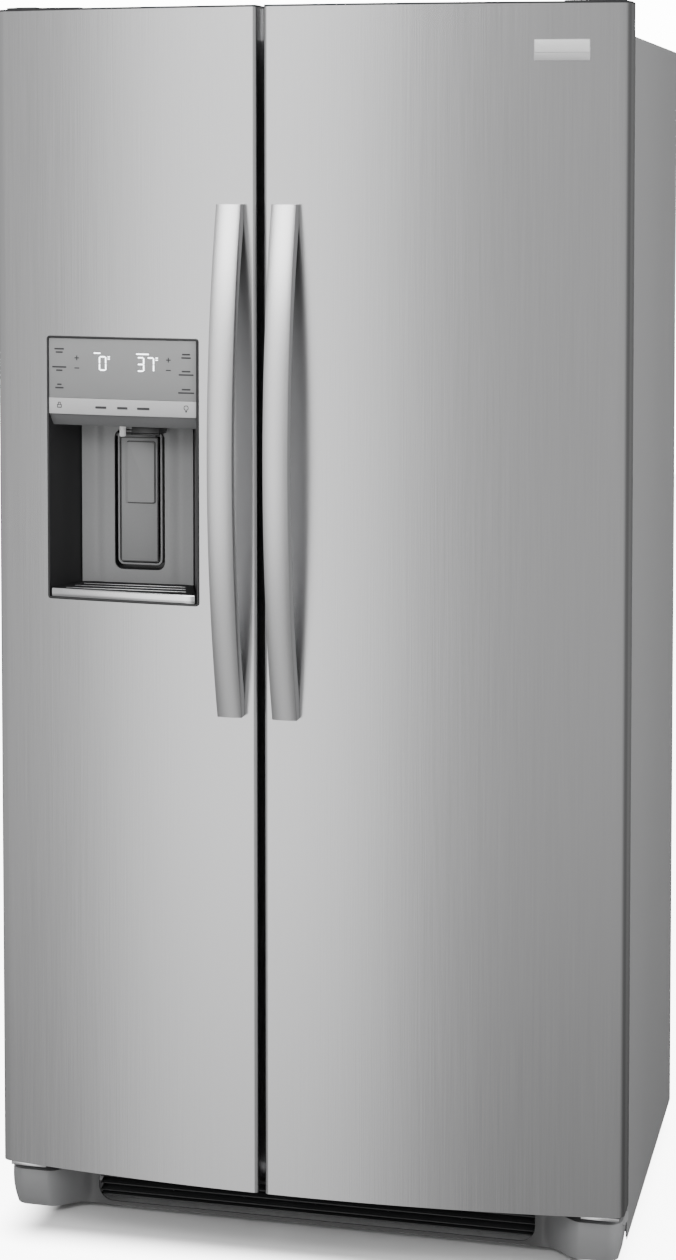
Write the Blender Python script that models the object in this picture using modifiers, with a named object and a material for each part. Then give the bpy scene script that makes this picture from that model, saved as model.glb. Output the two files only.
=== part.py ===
"""Side by side refrigerator, counter depth: freezer door with an ice and water dispenser on the
left, fresh-food door on the right. Metres, +Z up, the front faces -Y, and the floor is Z = 0.

Depths are measured back from the door-edge plane, the flat plane through the outer vertical edges
of the two doors. The door fronts bulge forward of that plane on one shared arc."""

import math

import bmesh
import bpy
from mathutils import Matrix, Vector

# Overall sizes
WIDTH = 0.914  # across both doors
BODY_DEPTH = 0.640  # door-edge plane to the back
CABINET_TOP = 1.719
SIDE_REVEAL = 0.0045  # cabinet side in from the door's edge
SIDE_BOTTOM = 0.021  # lower edge of the side panels
DOOR_BOTTOM = 0.082
DOOR_RISE = 0.044  # the doors stand this much above the cabinet
GAP = 0.0003  # left between pieces that touch
RUNNING = 0.0004  # radial room round a pin that turns
SLIDING = 0.0008  # side room of a drawer or shelf
PAST = 0.012  # how far a cutter runs past the wall it opens

# Doors
BULGE = 0.0325  # rise of the shared front arc
FREEZER_DOOR_WIDTH = 0.3975
DOOR_GAP = 0.010
DOOR_EDGE = 0.055  # depth of a door's side face
OUTER_ROUND = 0.018  # fillet of the outer vertical edges
INNER_ROUND = 0.005  # fillet of the edges at the gap
SKIN = 0.001
LIP = 0.012  # fold of the skin round the door's back
CAP_HEIGHT = 0.0165
PIN_INSET = 0.020  # hinge axis in from the door's outer side
PIN_DEPTH = 0.030
PIN_RADIUS = 0.005
PIN_LENGTH = 0.015
DOOR_LINER = 0.003
DYKE_WIDTH = 0.022
DYKE_REACH = 0.030  # how far the liner's raised border goes into the cabinet
DYKE_HINGE_INSET = 0.0125
DYKE_SWING_INSET = 0.016  # room for the border as the door turns out of the cabinet
DYKE_END_INSET = 0.012
SEAL_WIDTH = 0.016
SEAL_EDGE = 0.012  # seal in from the door's free edge and bottom
SEAL_HINGE_INSET = 0.002  # seal in from the hinge axis
SEAL_TOP_INSET = 0.008

# Handles
HANDLE_WIDTH = 0.036
HANDLE_LENGTH = 0.7205
HANDLE_DROP = 0.2765  # its top below the door's top
HANDLE_BAR = 0.016
HANDLE_BOW = 0.050
HANDLE_FOOT = 0.08  # share of the half length that stands on the door
FREEZER_HANDLE_INSET = 0.0363  # middle of the handle from the door's free edge
FRESH_HANDLE_INSET = 0.0336
HANDLE_EDGE = 0.005

# Cabinet
FRONT_ROOM = 0.020  # from the door's back to the cabinet's front, filled by the seal
SHEET = 0.001
SIDE_WALL = 0.055
TOP_WALL = 0.054
BACK_WALL = 0.055
MULLION = 0.065
LINER = 0.002
INNER_FLOOR = 0.130
MACHINE_LENGTH = 0.170  # front to back
MACHINE_WALL = 0.0525  # foam beside the machine space
STEP_WALL = 0.045  # foam between a compartment and the machine space
REAR_SHEET = 0.0015
LEDGE_WIDTH = 0.010
LEDGE_HEIGHT = 0.008

# Interior fittings: setbacks are from the cabinet's front
SHELF_SETBACK = 0.125
SHELF_THICK = 0.006
SHELF_RAIL = 0.016
SHELF_BACK_ROOM = 0.012
SHELF_SPACES = (0.390, 0.400)  # clear pitch of the two shelves above the crisper cover
FREEZER_SHELF = 0.640
DRAWER_SETBACK = 0.115
DRAWER_WALL = 0.0025
DRAWER_LIFT = 0.004
DRAWER_STEP_ROOM = 0.031  # upper drawer's bottom above the floor's step
DRAWER_ROOM = 0.022  # between the two drawers
COVER_ROOM_ABOVE = 0.024  # upper drawer's rim to the top of its cover
UPPER_DRAWER_HEIGHT = 0.150
BASKET_HEIGHT = 0.190
ICE_BIN_SETBACK = 0.075
ICE_BIN_DROP = 0.070  # its bottom below the niche's ceiling
ICE_BIN_HEIGHT = 0.245
ICE_BIN_BACK_ROOM = 0.090
ICE_OUTLET_HEIGHT = 0.070
ICE_OUTLET_DROP = 0.030  # below the bin's rim
ICE_MAKER_DROP = 0.225  # its bottom below the compartment's ceiling
ICE_MAKER_HEIGHT = 0.130
ICE_MAKER_LENGTH = 0.260
ICE_MAKER_SIDE = 0.022
MOULD_SIDE = 0.060
MOULD_FRONT = 0.030
MOULD_BACK = 0.060
MOULD_DEPTH = 0.050
DUCT_DEEP = 0.025  # evaporator cover's front ahead of the liner's back
DUCT_FOOT_ROOM = 0.025
DUCT_TOP_ROOM = 0.055
DUCT_WALL = 0.002
AIR_SLOTS = 3
AIR_SLOT = 0.008
AIR_SLOT_PITCH = 0.030
AIR_SLOT_RISE = 0.120  # first slot above the freezer shelf
AIR_SLOT_SIDE = 0.060
BIN_WALL = 0.003
BIN_HEIGHT = 0.095
FRESH_BIN_REACH = 0.090
FREEZER_BIN_REACH = 0.080
FRESH_BIN_DROPS = {  # each bin's bottom below the door's top
    "fresh_food_door_bin_lower": 1.243,
    "fresh_food_door_bin_middle": 0.853,
    "fresh_food_door_bin_upper": 0.463,
}
FREEZER_BIN_RISE = 0.310  # lower bin above the compartment's floor
FREEZER_BIN_DROP = 0.185  # upper bin's bottom below the compartment's ceiling

# Dispenser
DISPENSER_INSET = 0.19625  # its middle from the door's outer side
DISPENSER_WIDTH = 0.2315
DISPENSER_DROP = 0.466  # its top below the door's top
DISPENSER_HEIGHT = 0.379
PANEL_HEIGHT = 0.112  # display and touch strip above the niche
RIM = 0.003  # width of the rim that laps over the skin
RIM_PROUD = 0.0025
NICHE_WALL = 0.0015
NICHE_DEPTH = 0.055  # back wall of the niche
NICHE_TAPER = 0.029  # each side wall closes in by this much
NICHE_DROP = 0.020  # the ceiling comes down by this much at the back
HOUSING_WALL = 0.0025  # behind the paddle's recess
BODY_LAP = 0.010  # the housing's upper part laps down over the lower part
BODY_RISE = 0.005
PANEL_THICK = 0.008
PANEL_SEAT = 0.012
PANEL_PROUD = 0.0005
SEAT_WALL = 0.002
RECESS_OFFSET = 0.003  # middle of the recess right of the dispenser's middle
RECESS_WIDTH = 0.0761
RECESS_RISE = 0.036  # above the dispenser's bottom
RECESS_DROP = 0.027  # below the niche's ceiling, as are the drops that follow
RECESS_DEEP = 0.0155
PADDLE_WIDTH = 0.056
PADDLE_RISE = 0.048
PADDLE_DROP = 0.038
PADDLE_PROUD = 0.007  # in front of the niche's back wall
PADDLE_THICK = 0.005
PAD_WIDTH = 0.041
PAD_DROP = 0.045
PAD_HEIGHT = 0.0875
PAD_THICK = 0.002
PIVOT_DROP = 0.035
PIVOT_DEEP = 0.003
PADDLE_PIN = 0.003
PADDLE_PIN_REACH = 0.0012
WEB_HEIGHT = 0.014
WEB_SIDE = 0.004
WEB_LAP = 0.001
CHUTE_OFFSET = 0.02525
CHUTE_WIDTH = 0.042
CHUTE_THICK = 0.034
CHUTE_WALL = 0.002
CHUTE_DROP = 0.035
CHUTE_DEPTH = 0.025
CHUTE_LEAN = 19.0  # degrees from upright
CHUTE_STOCK = 0.300  # length of the tube before its ends are trimmed
CHUTE_STOCK_FOOT = 0.030
FLAP_THICK = 0.002
FLAP_PIN = 0.0016
NOZZLE_OFFSET = -0.01925
NOZZLE_DEPTH = 0.040
NOZZLE_DROP = 0.036
NOZZLE_ROOT = 0.020  # above the ceiling
NOZZLE_ROOM = 0.060  # length of the hole cut for it
NOZZLE_RADIUS = 0.0045
FOAM_MARGIN = 0.005  # foam round the sides of the dispenser housing
FOAM_MARGIN_LOW = 0.008
FOAM_BULGE_RISE = 0.245  # above the niche's ceiling, round the chute
FOAM_BULGE_DEEP = 0.019  # behind the housing
BULGE_WALL = 0.005
TRAY_HEIGHT = 0.013
TRAY_LIP = 0.0035
TRAY_SLOTS = 7
TRAY_SLOT = 0.0035
TRAY_PITCH = 0.0085
TRAY_SLOT_DEPTH = 0.006
TRAY_BACK = 0.010
TRAY_SIDE = 0.004

# Badge
BADGE_INSET = 0.054  # its right end from the door's outer side
BADGE_WIDTH = 0.0754
BADGE_DROP = 0.0515  # its top below the door's top
BADGE_HEIGHT = 0.029
BADGE_THICK = 0.002

# Hinges: setbacks are from the cabinet's front
ARM_THICK = 0.004
ARM_LIFT = 0.0005
ARM_WIDTH = 0.031
ARM_FRONT = 0.018
RISER_SETBACK = 0.013
HINGE_BASE_LENGTH = 0.107
HINGE_BASE_WIDTH = 0.072
HINGE_BASE_EDGE = 0.005  # its outer edge inside the hinge axis
ARM_HEAD_RADIUS = 0.012
HINGE_BASE_THICK = 0.003
COVER_WALL = 0.002
COVER_SETBACK = 0.0025
COVER_LENGTH = 0.1275
COVER_ROOM = 0.005
COVER_TOP_ROOM = 0.0005
LOWER_PLATE_DROP = 0.012  # below the door's bottom
LOWER_PLATE_THICK = 0.0045
LOWER_PLATE_WIDTH = 0.054
LOWER_PLATE_EDGE = 0.012  # its outer edge past the hinge axis
LOWER_PLATE_FRONT = 0.015
LOWER_FLANGE_LOW = 0.030
LOWER_FLANGE = 0.0035
BUSH_RADIUS = 0.009
BUSH_LOW_ROOM = 0.0005

# Base: insets are from the cabinet's side
TOE_DROP = 0.013  # kick plate's top below the doors
TOE_LOW = 0.007
TOE_FRONT = 0.050
TOE_BACK_ROOM = 0.0043
TOE_WALL = 0.0025
TOE_RAIL = 0.013  # bar below the grille
SWELL_INSET = 0.1045  # where the plate starts to swell over the leg
SWELL_END_INSET = 0.0605
SWELL_STEPS = 10
LEG_FRONT = 0.015
LEG_ROUND = 0.010
LEG_ROUND_STEPS = 4
GRILLE_INSET = 0.1275
GRILLE_FRONT = 0.056
GRILLE_WALL = 0.002
LOUVRES = 3
LOUVRE_GAP = 0.0075
LOUVRE_PITCH = 0.0125
LOUVRE_RIB = 0.012
LOUVRE_END = 0.010
RAIL_BOTTOM = 0.0215
FRAME_SETBACK = 0.0075
FRAME_SHEET = 0.002
FRAME_RISE = 0.001  # frame's top above the doors' bottom
FRONT_FRAME_RISE = 0.002
FOAM_RISE = 0.0035
PAN_LOW = 0.040
FOOT_INSET = 0.0475
FOOT_SETBACK = 0.033
FOOT_RADIUS = 0.018
FOOT_TAPER = 0.004
FOOT_HEIGHT = 0.010
STEM_RADIUS = 0.006
STEM_ROOM = 0.005  # stem's top below the frame's top
BOSS_RADIUS = 0.012
BOSS_LOW = 0.045
ROLLER_RADIUS = 0.018
ROLLER_WIDTH = 0.022
ROLLER_BACK = 0.040  # axle ahead of the back
AXLE_RADIUS = 0.004
BRACKET = 0.003
BRACKET_LOW = 0.010
BRACKET_HALF = 0.010

# Machine space
COMPRESSOR_RADIUS = 0.066
COMPRESSOR_HEIGHT = 0.150
COMPRESSOR_INSET = 0.180  # its middle from the right side of the machine space
COMPRESSOR_FOOT = 0.010
COMPRESSOR_FOOT_SIDE = 0.012
COMPRESSOR_FOOT_HALF = 0.0462
COMPRESSOR_ROUND = 0.022
NECK_INSET = 0.024
NECK_HEIGHT = 0.018
COMPRESSOR_HEADROOM = 0.0277
CONDENSER_INSET = 0.070
CONDENSER_WIDTH = 0.210
CONDENSER_HEIGHT = 0.140
CONDENSER_MARGIN = 0.018
FINS = 9
FIN_GAP = 0.012
FIN_BASE = 0.012
FAN_ROOM = 0.032  # middle of the fan past the condenser
FAN_RADIUS = 0.058
FAN_Z = 0.125
FAN_WIDTH = 0.018
FAN_BLADES = 5
FAN_PITCH = 35.0  # degrees
BLADE_THICK = 0.0024
BLADE_INSET = 0.001
BLADE_ROOT = 0.7  # share of the hub's radius
HUB_RADIUS = 0.016
SHAFT_RADIUS = 0.003
MOTOR_RADIUS = 0.022
MOTOR_LENGTH = 0.045
MOTOR_ROOM = 0.006
POST_START = 0.010
POST_WIDTH = 0.020
POST_HALF = 0.012
MACHINE_COVER_LOW = 0.045
COVER_SLOTS = 5
COVER_SLOT = 0.006
COVER_SLOT_PITCH = 0.020
COVER_SLOT_RISE = 0.050
COVER_SLOT_MIDDLE = 0.060
COVER_SLOT_INSET = 0.040

# Worked out across the width
HALF = WIDTH / 2
CABINET_HALF = HALF - SIDE_REVEAL
ARC_RADIUS = (HALF**2 + BULGE**2) / (2 * BULGE)
FREEZER_EDGE = -HALF + FREEZER_DOOR_WIDTH
FRESH_EDGE = FREEZER_EDGE + DOOR_GAP
SPLIT_X = (FREEZER_EDGE + FRESH_EDGE) / 2
PIN_X = HALF - PIN_INSET
FREEZER_HANDLE_X = FREEZER_EDGE - FREEZER_HANDLE_INSET
FRESH_HANDLE_X = FRESH_EDGE + FRESH_HANDLE_INSET
INNER_SIDE = CABINET_HALF - SIDE_WALL
FREEZER_SPACE = (-INNER_SIDE, SPLIT_X - MULLION / 2)
FRESH_SPACE = (SPLIT_X + MULLION / 2, INNER_SIDE)
FOAM_HALF = CABINET_HALF - SHEET - GAP
RAIL_OUTER = FOAM_HALF
DISPENSER_MIDDLE = -HALF + DISPENSER_INSET
DISPENSER_LEFT = DISPENSER_MIDDLE - DISPENSER_WIDTH / 2
RECESS_MIDDLE = DISPENSER_MIDDLE + RECESS_OFFSET
CHUTE_X = DISPENSER_MIDDLE + CHUTE_OFFSET
NOZZLE_X = DISPENSER_MIDDLE + NOZZLE_OFFSET
BADGE_LEFT = HALF - BADGE_INSET - BADGE_WIDTH
HINGE_BASE_OUTER = PIN_X - HINGE_BASE_EDGE
LOWER_PLATE_OUTER = PIN_X + LOWER_PLATE_EDGE
TOE_SWELL_START = CABINET_HALF - SWELL_INSET
TOE_SWELL_END = CABINET_HALF - SWELL_END_INSET
GRILLE_HALF = CABINET_HALF - GRILLE_INSET
FOOT_X = CABINET_HALF - FOOT_INSET
MACHINE_HALF = CABINET_HALF - MACHINE_WALL
COMPRESSOR_X = MACHINE_HALF - COMPRESSOR_INSET
CONDENSER_LOW_X = -MACHINE_HALF + CONDENSER_INSET
FAN_X = CONDENSER_LOW_X + CONDENSER_WIDTH + FAN_ROOM

# Worked out in depth
CABINET_FRONT = DOOR_EDGE + FRONT_ROOM
SEAL_FRONT = DOOR_EDGE + GAP + DOOR_LINER + GAP
DYKE_DEPTH = CABINET_FRONT + DYKE_REACH
INNER_BACK = BODY_DEPTH - BACK_WALL
MACHINE_DEPTH = BODY_DEPTH - MACHINE_LENGTH
HUMP_DEPTH = MACHINE_DEPTH - STEP_WALL
SHELF_FRONT = CABINET_FRONT + SHELF_SETBACK
DRAWER_FRONT = CABINET_FRONT + DRAWER_SETBACK
DUCT_DEPTH = INNER_BACK - DUCT_DEEP
ICE_BIN_FRONT = CABINET_FRONT + ICE_BIN_SETBACK
ICE_BIN_BACK = DUCT_DEPTH - ICE_BIN_BACK_ROOM
ICE_MAKER_FRONT = DUCT_DEPTH - ICE_MAKER_LENGTH
FRESH_BIN_DEPTH = CABINET_FRONT + FRESH_BIN_REACH
FREEZER_BIN_DEPTH = CABINET_FRONT + FREEZER_BIN_REACH
RECESS_DEPTH = NICHE_DEPTH + RECESS_DEEP
HOUSING_BACK = RECESS_DEPTH + HOUSING_WALL
FOAM_BULGE_DEPTH = HOUSING_BACK + FOAM_BULGE_DEEP
PADDLE_FACE = NICHE_DEPTH - PADDLE_PROUD
PADDLE_PIVOT_DEPTH = NICHE_DEPTH + PIVOT_DEEP
HANDLE_PROUD = GAP + HANDLE_BAR + HANDLE_BOW
HINGE_RISER = CABINET_FRONT + RISER_SETBACK
HINGE_BASE_BACK = HINGE_RISER + HINGE_BASE_LENGTH
COVER_FRONT = CABINET_FRONT + COVER_SETBACK
COVER_BACK = COVER_FRONT + COVER_LENGTH
FRAME_FRONT = CABINET_FRONT + FRAME_SETBACK
TOE_BACK = FRAME_FRONT - TOE_BACK_ROOM
FOOT_DEPTH = CABINET_FRONT + FOOT_SETBACK
ROLLER_DEPTH = BODY_DEPTH - ROLLER_BACK
MACHINE_MIDDLE = (MACHINE_DEPTH + BODY_DEPTH) / 2

# Worked out in height
DOOR_TOP = CABINET_TOP + DOOR_RISE
HANDLE_HIGH = DOOR_TOP - HANDLE_DROP
HANDLE_LOW = HANDLE_HIGH - HANDLE_LENGTH
INNER_CEILING = CABINET_TOP - TOP_WALL
PAN_TOP = PAN_LOW + FRAME_SHEET + GAP
MACHINE_TOP = PAN_TOP + COMPRESSOR_FOOT + COMPRESSOR_HEIGHT + COMPRESSOR_HEADROOM
HUMP_TOP = MACHINE_TOP + STEP_WALL
LOWER_DRAWER_LOW = INNER_FLOOR + DRAWER_LIFT
UPPER_DRAWER_LOW = HUMP_TOP + DRAWER_STEP_ROOM
LOWER_DRAWER_HEIGHT = UPPER_DRAWER_LOW - DRAWER_ROOM - LOWER_DRAWER_LOW
CRISPER_COVER = UPPER_DRAWER_LOW + UPPER_DRAWER_HEIGHT + COVER_ROOM_ABOVE
FRESH_SHELVES = {
    "fresh_food_shelf_upper": CRISPER_COVER + sum(SHELF_SPACES),
    "fresh_food_shelf_middle": CRISPER_COVER + SHELF_SPACES[0],
    "crisper_cover": CRISPER_COVER,
}
DISPENSER_LOW = DOOR_TOP - DISPENSER_DROP - DISPENSER_HEIGHT
NICHE_TOP = DOOR_TOP - DISPENSER_DROP - PANEL_HEIGHT
RECESS_LOW = DISPENSER_LOW + RECESS_RISE
RECESS_HIGH = NICHE_TOP - RECESS_DROP
PADDLE_LOW = DISPENSER_LOW + PADDLE_RISE
PADDLE_HIGH = NICHE_TOP - PADDLE_DROP
PAD_HIGH = NICHE_TOP - PAD_DROP
PADDLE_PIVOT_Z = NICHE_TOP - PIVOT_DROP
CHUTE_LOW = NICHE_TOP - CHUTE_DROP
NOZZLE_LOW = NICHE_TOP - NOZZLE_DROP
NOZZLE_TOP = NICHE_TOP + NOZZLE_ROOT
FOAM_BULGE_TOP = NICHE_TOP + FOAM_BULGE_RISE
ICE_BIN_LOW = NICHE_TOP - ICE_BIN_DROP
ICE_MAKER_LOW = INNER_CEILING - ICE_MAKER_DROP
DUCT_LOW = HUMP_TOP + DUCT_FOOT_ROOM
DUCT_HIGH = INNER_CEILING - DUCT_TOP_ROOM
FRESH_BINS = {name: DOOR_TOP - drop for name, drop in FRESH_BIN_DROPS.items()}
FREEZER_BINS = {
    "freezer_door_bin_lower": INNER_FLOOR + FREEZER_BIN_RISE,
    "freezer_door_bin_upper": INNER_CEILING - FREEZER_BIN_DROP,
}
BADGE_LOW = DOOR_TOP - BADGE_DROP - BADGE_HEIGHT
LOWER_PLATE_LOW = DOOR_BOTTOM - LOWER_PLATE_DROP
TOE_TOP = DOOR_BOTTOM - TOE_DROP
FRAME_TOP = DOOR_BOTTOM + FRAME_RISE
FRONT_FRAME_BOTTOM = DOOR_BOTTOM + FRONT_FRAME_RISE
FOAM_BOTTOM = DOOR_BOTTOM + FOAM_RISE
STEM_TOP = FRAME_TOP - STEM_ROOM


def arc_rise(x):
    """How far the door fronts stand forward of the door-edge plane at x."""
    return math.sqrt(ARC_RADIUS**2 - x**2) - (ARC_RADIUS - BULGE)


# The origin is under the middle of the whole object, handles included
HANDLE_REACH = arc_rise(abs(FRESH_HANDLE_X) - HANDLE_WIDTH / 2) + HANDLE_PROUD
EDGE_PLANE = (HANDLE_REACH - BODY_DEPTH) / 2
ARC_CENTRE = EDGE_PLANE - BULGE + ARC_RADIUS


def at(depth):
    """Y of a depth measured back from the door-edge plane."""
    return EDGE_PLANE + depth


def front(x, inset=0.0):
    """Y of the shared front arc at x, or of the same arc set in by inset."""
    return ARC_CENTRE - math.sqrt((ARC_RADIUS - inset) ** 2 - x**2)


for old in list(bpy.data.objects):
    bpy.data.objects.remove(old, do_unlink=True)

parts = bpy.data.collections.new("side_by_side_refrigerator")
cutters = bpy.data.collections.new("cutters")
cutters.hide_render = True
for collection in (parts, cutters):
    bpy.context.scene.collection.children.link(collection)


def finish(name, colour, roughness, metallic=0.0):
    material = bpy.data.materials.new(name)
    material.use_nodes = True
    shader = material.node_tree.nodes["Principled BSDF"]
    shader.inputs["Base Color"].default_value = (*colour, 1.0)
    shader.inputs["Roughness"].default_value = roughness
    shader.inputs["Metallic"].default_value = metallic
    return material


STEEL = finish("brushed_stainless", (0.62, 0.62, 0.62), 0.32, 1.0)
HANDLE_STEEL = finish("handle_stainless", (0.72, 0.72, 0.72), 0.28, 1.0)
PAINT = finish("grey_paint", (0.30, 0.30, 0.31), 0.45)
ZINC = finish("zinc_plate", (0.65, 0.65, 0.66), 0.35, 1.0)
DARK = finish("black_plastic", (0.03, 0.03, 0.03), 0.5)
GREY = finish("grey_plastic", (0.22, 0.22, 0.23), 0.45)
SILVER = finish("silver_plastic", (0.50, 0.50, 0.51), 0.35, 0.3)
WHITE = finish("white_plastic", (0.85, 0.86, 0.86), 0.35)
CLEAR = finish("clear_plastic", (0.80, 0.86, 0.88), 0.12)
GLASS = finish("shelf_glass", (0.75, 0.85, 0.83), 0.05)
SEAL = finish("seal_rubber", (0.18, 0.18, 0.19), 0.7)
FOAM = finish("insulation_foam", (0.85, 0.78, 0.55), 0.9)
CHROME = finish("chrome", (0.85, 0.85, 0.85), 0.12, 1.0)


def keep(name, mesh, material, location=(0, 0, 0)):
    thing = bpy.data.objects.new(name, mesh)
    thing.location = location
    parts.objects.link(thing)
    if material:
        mesh.materials.append(material)
    return thing


def as_cutter(thing):
    parts.objects.unlink(thing)
    cutters.objects.link(thing)
    thing.hide_render = True
    thing.display_type = "WIRE"
    return thing


def box(name, x, y, z, material=None):
    """A box from its low and high X, Y and Z, with its origin at its middle."""
    sizes = [high - low for low, high in (x, y, z)]
    mesh = bpy.data.meshes.new(name)
    bm = bmesh.new()
    bmesh.ops.create_cube(bm, size=1.0)
    bmesh.ops.scale(bm, vec=sizes, verts=bm.verts)
    bm.to_mesh(mesh)
    bm.free()
    middle = [(low + high) / 2 for low, high in (x, y, z)]
    return keep(name, mesh, material, middle)


def rod(name, middle, axis, radius, length, material=None, sides=24, end_radius=None):
    """A cylinder about X, Y or Z; end_radius tapers it to its high end."""
    mesh = bpy.data.meshes.new(name)
    bm = bmesh.new()
    top = radius if end_radius is None else end_radius
    bmesh.ops.create_cone(
        bm, cap_ends=True, segments=sides, radius1=radius, radius2=top, depth=length
    )
    turn = {"X": Matrix.Rotation(math.pi / 2, 4, "Y"), "Y": Matrix.Rotation(-math.pi / 2, 4, "X")}
    if axis in turn:
        bmesh.ops.transform(bm, matrix=turn[axis], verts=bm.verts)
    bm.to_mesh(mesh)
    bm.free()
    mesh.shade_smooth()
    mesh.set_sharp_from_angle(angle=math.radians(40))
    return keep(name, mesh, material, middle)


def outline_solid(name, points, thickness, middle, turn=(0, 0, 0), material=None):
    """A flat outline made solid: a filled 2D curve with an extrusion, turned into a mesh."""
    curve = bpy.data.curves.new(name, "CURVE")
    curve.dimensions = "2D"
    curve.fill_mode = "BOTH"
    curve.extrude = thickness / 2
    spline = curve.splines.new("POLY")
    spline.points.add(len(points) - 1)
    for point, (a, b) in zip(spline.points, points):
        point.co = (a, b, 0, 1)
    spline.use_cyclic_u = True
    guide = bpy.data.objects.new(name + "_curve", curve)
    parts.objects.link(guide)
    guide.location = middle
    guide.rotation_euler = turn
    bpy.context.view_layer.update()
    graph = bpy.context.evaluated_depsgraph_get()
    mesh = bpy.data.meshes.new_from_object(guide.evaluated_get(graph))
    place = guide.matrix_world.copy()
    bpy.data.objects.remove(guide, do_unlink=True)
    bm = bmesh.new()
    bm.from_mesh(mesh)
    bmesh.ops.remove_doubles(bm, verts=bm.verts, dist=1e-6)
    bmesh.ops.recalc_face_normals(bm, faces=bm.faces)
    bm.to_mesh(mesh)
    bm.free()
    mesh.materials.clear()
    thing = keep(name, mesh, material)
    thing.matrix_world = place
    return thing


def plan_solid(name, points, low, high, material=None):
    """An outline in plan, made solid between two heights."""
    return outline_solid(name, points, high - low, (0, 0, (low + high) / 2), material=material)


def side_solid(name, points, low_x, high_x, material=None):
    """An outline of (y, z) points, made solid between two X."""
    turn = (math.pi / 2, 0, math.pi / 2)
    middle = ((low_x + high_x) / 2, 0, 0)
    return outline_solid(name, points, high_x - low_x, middle, turn, material)


def boolean(thing, other, operation):
    modifier = thing.modifiers.new(operation.lower() + "_" + other.name, "BOOLEAN")
    modifier.operation = operation
    modifier.object = as_cutter(other)
    return thing


def carve(thing, *others):
    for other in others:
        boolean(thing, other, "DIFFERENCE")
    return thing


def join(thing, *others):
    for other in others:
        boolean(thing, other, "UNION")
    return thing


def bevel(thing, width, segments=2, angle=40):
    modifier = thing.modifiers.new("bevel", "BEVEL")
    modifier.width = width
    modifier.segments = segments
    modifier.limit_method = "ANGLE"
    modifier.angle_limit = math.radians(angle)
    return thing


def shift(span, amount):
    """A span made longer at both ends by amount."""
    return (span[0] - amount, span[1] + amount)


def depths(low, high):
    return (at(low), at(high))


def pivot(name, place):
    """An empty on a joint's axis, which the moving pieces are parented to."""
    empty = bpy.data.objects.new(name, None)
    empty.location = place
    empty.empty_display_size = 0.05
    parts.objects.link(empty)
    return empty


def hang(empty, *things):
    for thing in things:
        thing.parent = empty
        thing.matrix_parent_inverse = Matrix.Translation(-Vector(empty.location))


def arc_points(x_from, x_to, inset, steps):
    return [
        (x, front(x, inset))
        for x in (x_from + (x_to - x_from) * i / steps for i in range(steps + 1))
    ]


def arc_slab(name, x, z, front_inset, back, material=None, steps=8):
    """A slab whose front follows the doors' arc. back is a depth, or an inset given as a tuple."""
    face = arc_points(x[0], x[1], front_inset, steps)
    if isinstance(back, tuple):
        rear = arc_points(x[1], x[0], back[0], steps)
    else:
        rear = [(x[1], at(back)), (x[0], at(back))]
    return plan_solid(name, face + rear, z[0], z[1], material)


def corner_points(side_x, inward, radius, inset, steps=5):
    """The fillet between a door's side at side_x and the front arc, from the side to the arc."""
    radius = max(radius - inset, 0.0006)
    centre_x = side_x + inward * (inset + radius)
    centre_y = ARC_CENTRE - math.sqrt((ARC_RADIUS - inset - radius) ** 2 - centre_x**2)
    start = math.pi if inward > 0 else 0.0
    end = math.atan2(centre_y - ARC_CENTRE, centre_x)
    if inward > 0:
        end += 2 * math.pi
    angles = [start + (end - start) * i / steps for i in range(steps + 1)]
    return [(centre_x + radius * math.cos(a), centre_y + radius * math.sin(a)) for a in angles]


def door_plan(x, rounds, back, inset=0.0, steps=14):
    """Plan of a door from its low-X back corner, round the front, to its high-X back corner."""
    low = corner_points(x[0], 1, rounds[0], inset)
    high = corner_points(x[1], -1, rounds[1], inset)
    high.reverse()
    face = arc_points(low[-1][0], high[0][0], inset, steps)[1:-1]
    return [(x[0] + inset, at(back)), *low, *face, *high, (x[1] - inset, at(back))]


def wrap(name, points, z, thickness, material):
    """A folded sheet: an open line in plan drawn up between two heights, then given its thickness."""
    mesh = bpy.data.meshes.new(name)
    bm = bmesh.new()
    corners = [bm.verts.new((px, py, z[0])) for px, py in points]
    edges = [bm.edges.new(pair) for pair in zip(corners, corners[1:])]
    drawn = bmesh.ops.extrude_edge_only(bm, edges=edges)["geom"]
    raised = [item for item in drawn if isinstance(item, bmesh.types.BMVert)]
    bmesh.ops.translate(bm, vec=(0, 0, z[1] - z[0]), verts=raised)
    bm.to_mesh(mesh)
    bm.free()
    thing = keep(name, mesh, material)
    solidify = thing.modifiers.new("sheet", "SOLIDIFY")
    solidify.thickness = thickness
    solidify.offset = 1.0
    solidify.use_even_offset = True
    return thing


def tub(name, x, y, z, wall, material):
    """A container open at the top."""
    body = box(name, x, y, z, material)
    inside = box(
        name + "_inside", shift(x, -wall), shift(y, -wall), (z[0] + wall, z[1] + wall)
    )
    return carve(body, inside)


# Cabinet: folded sheet steel round two foamed compartments


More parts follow.
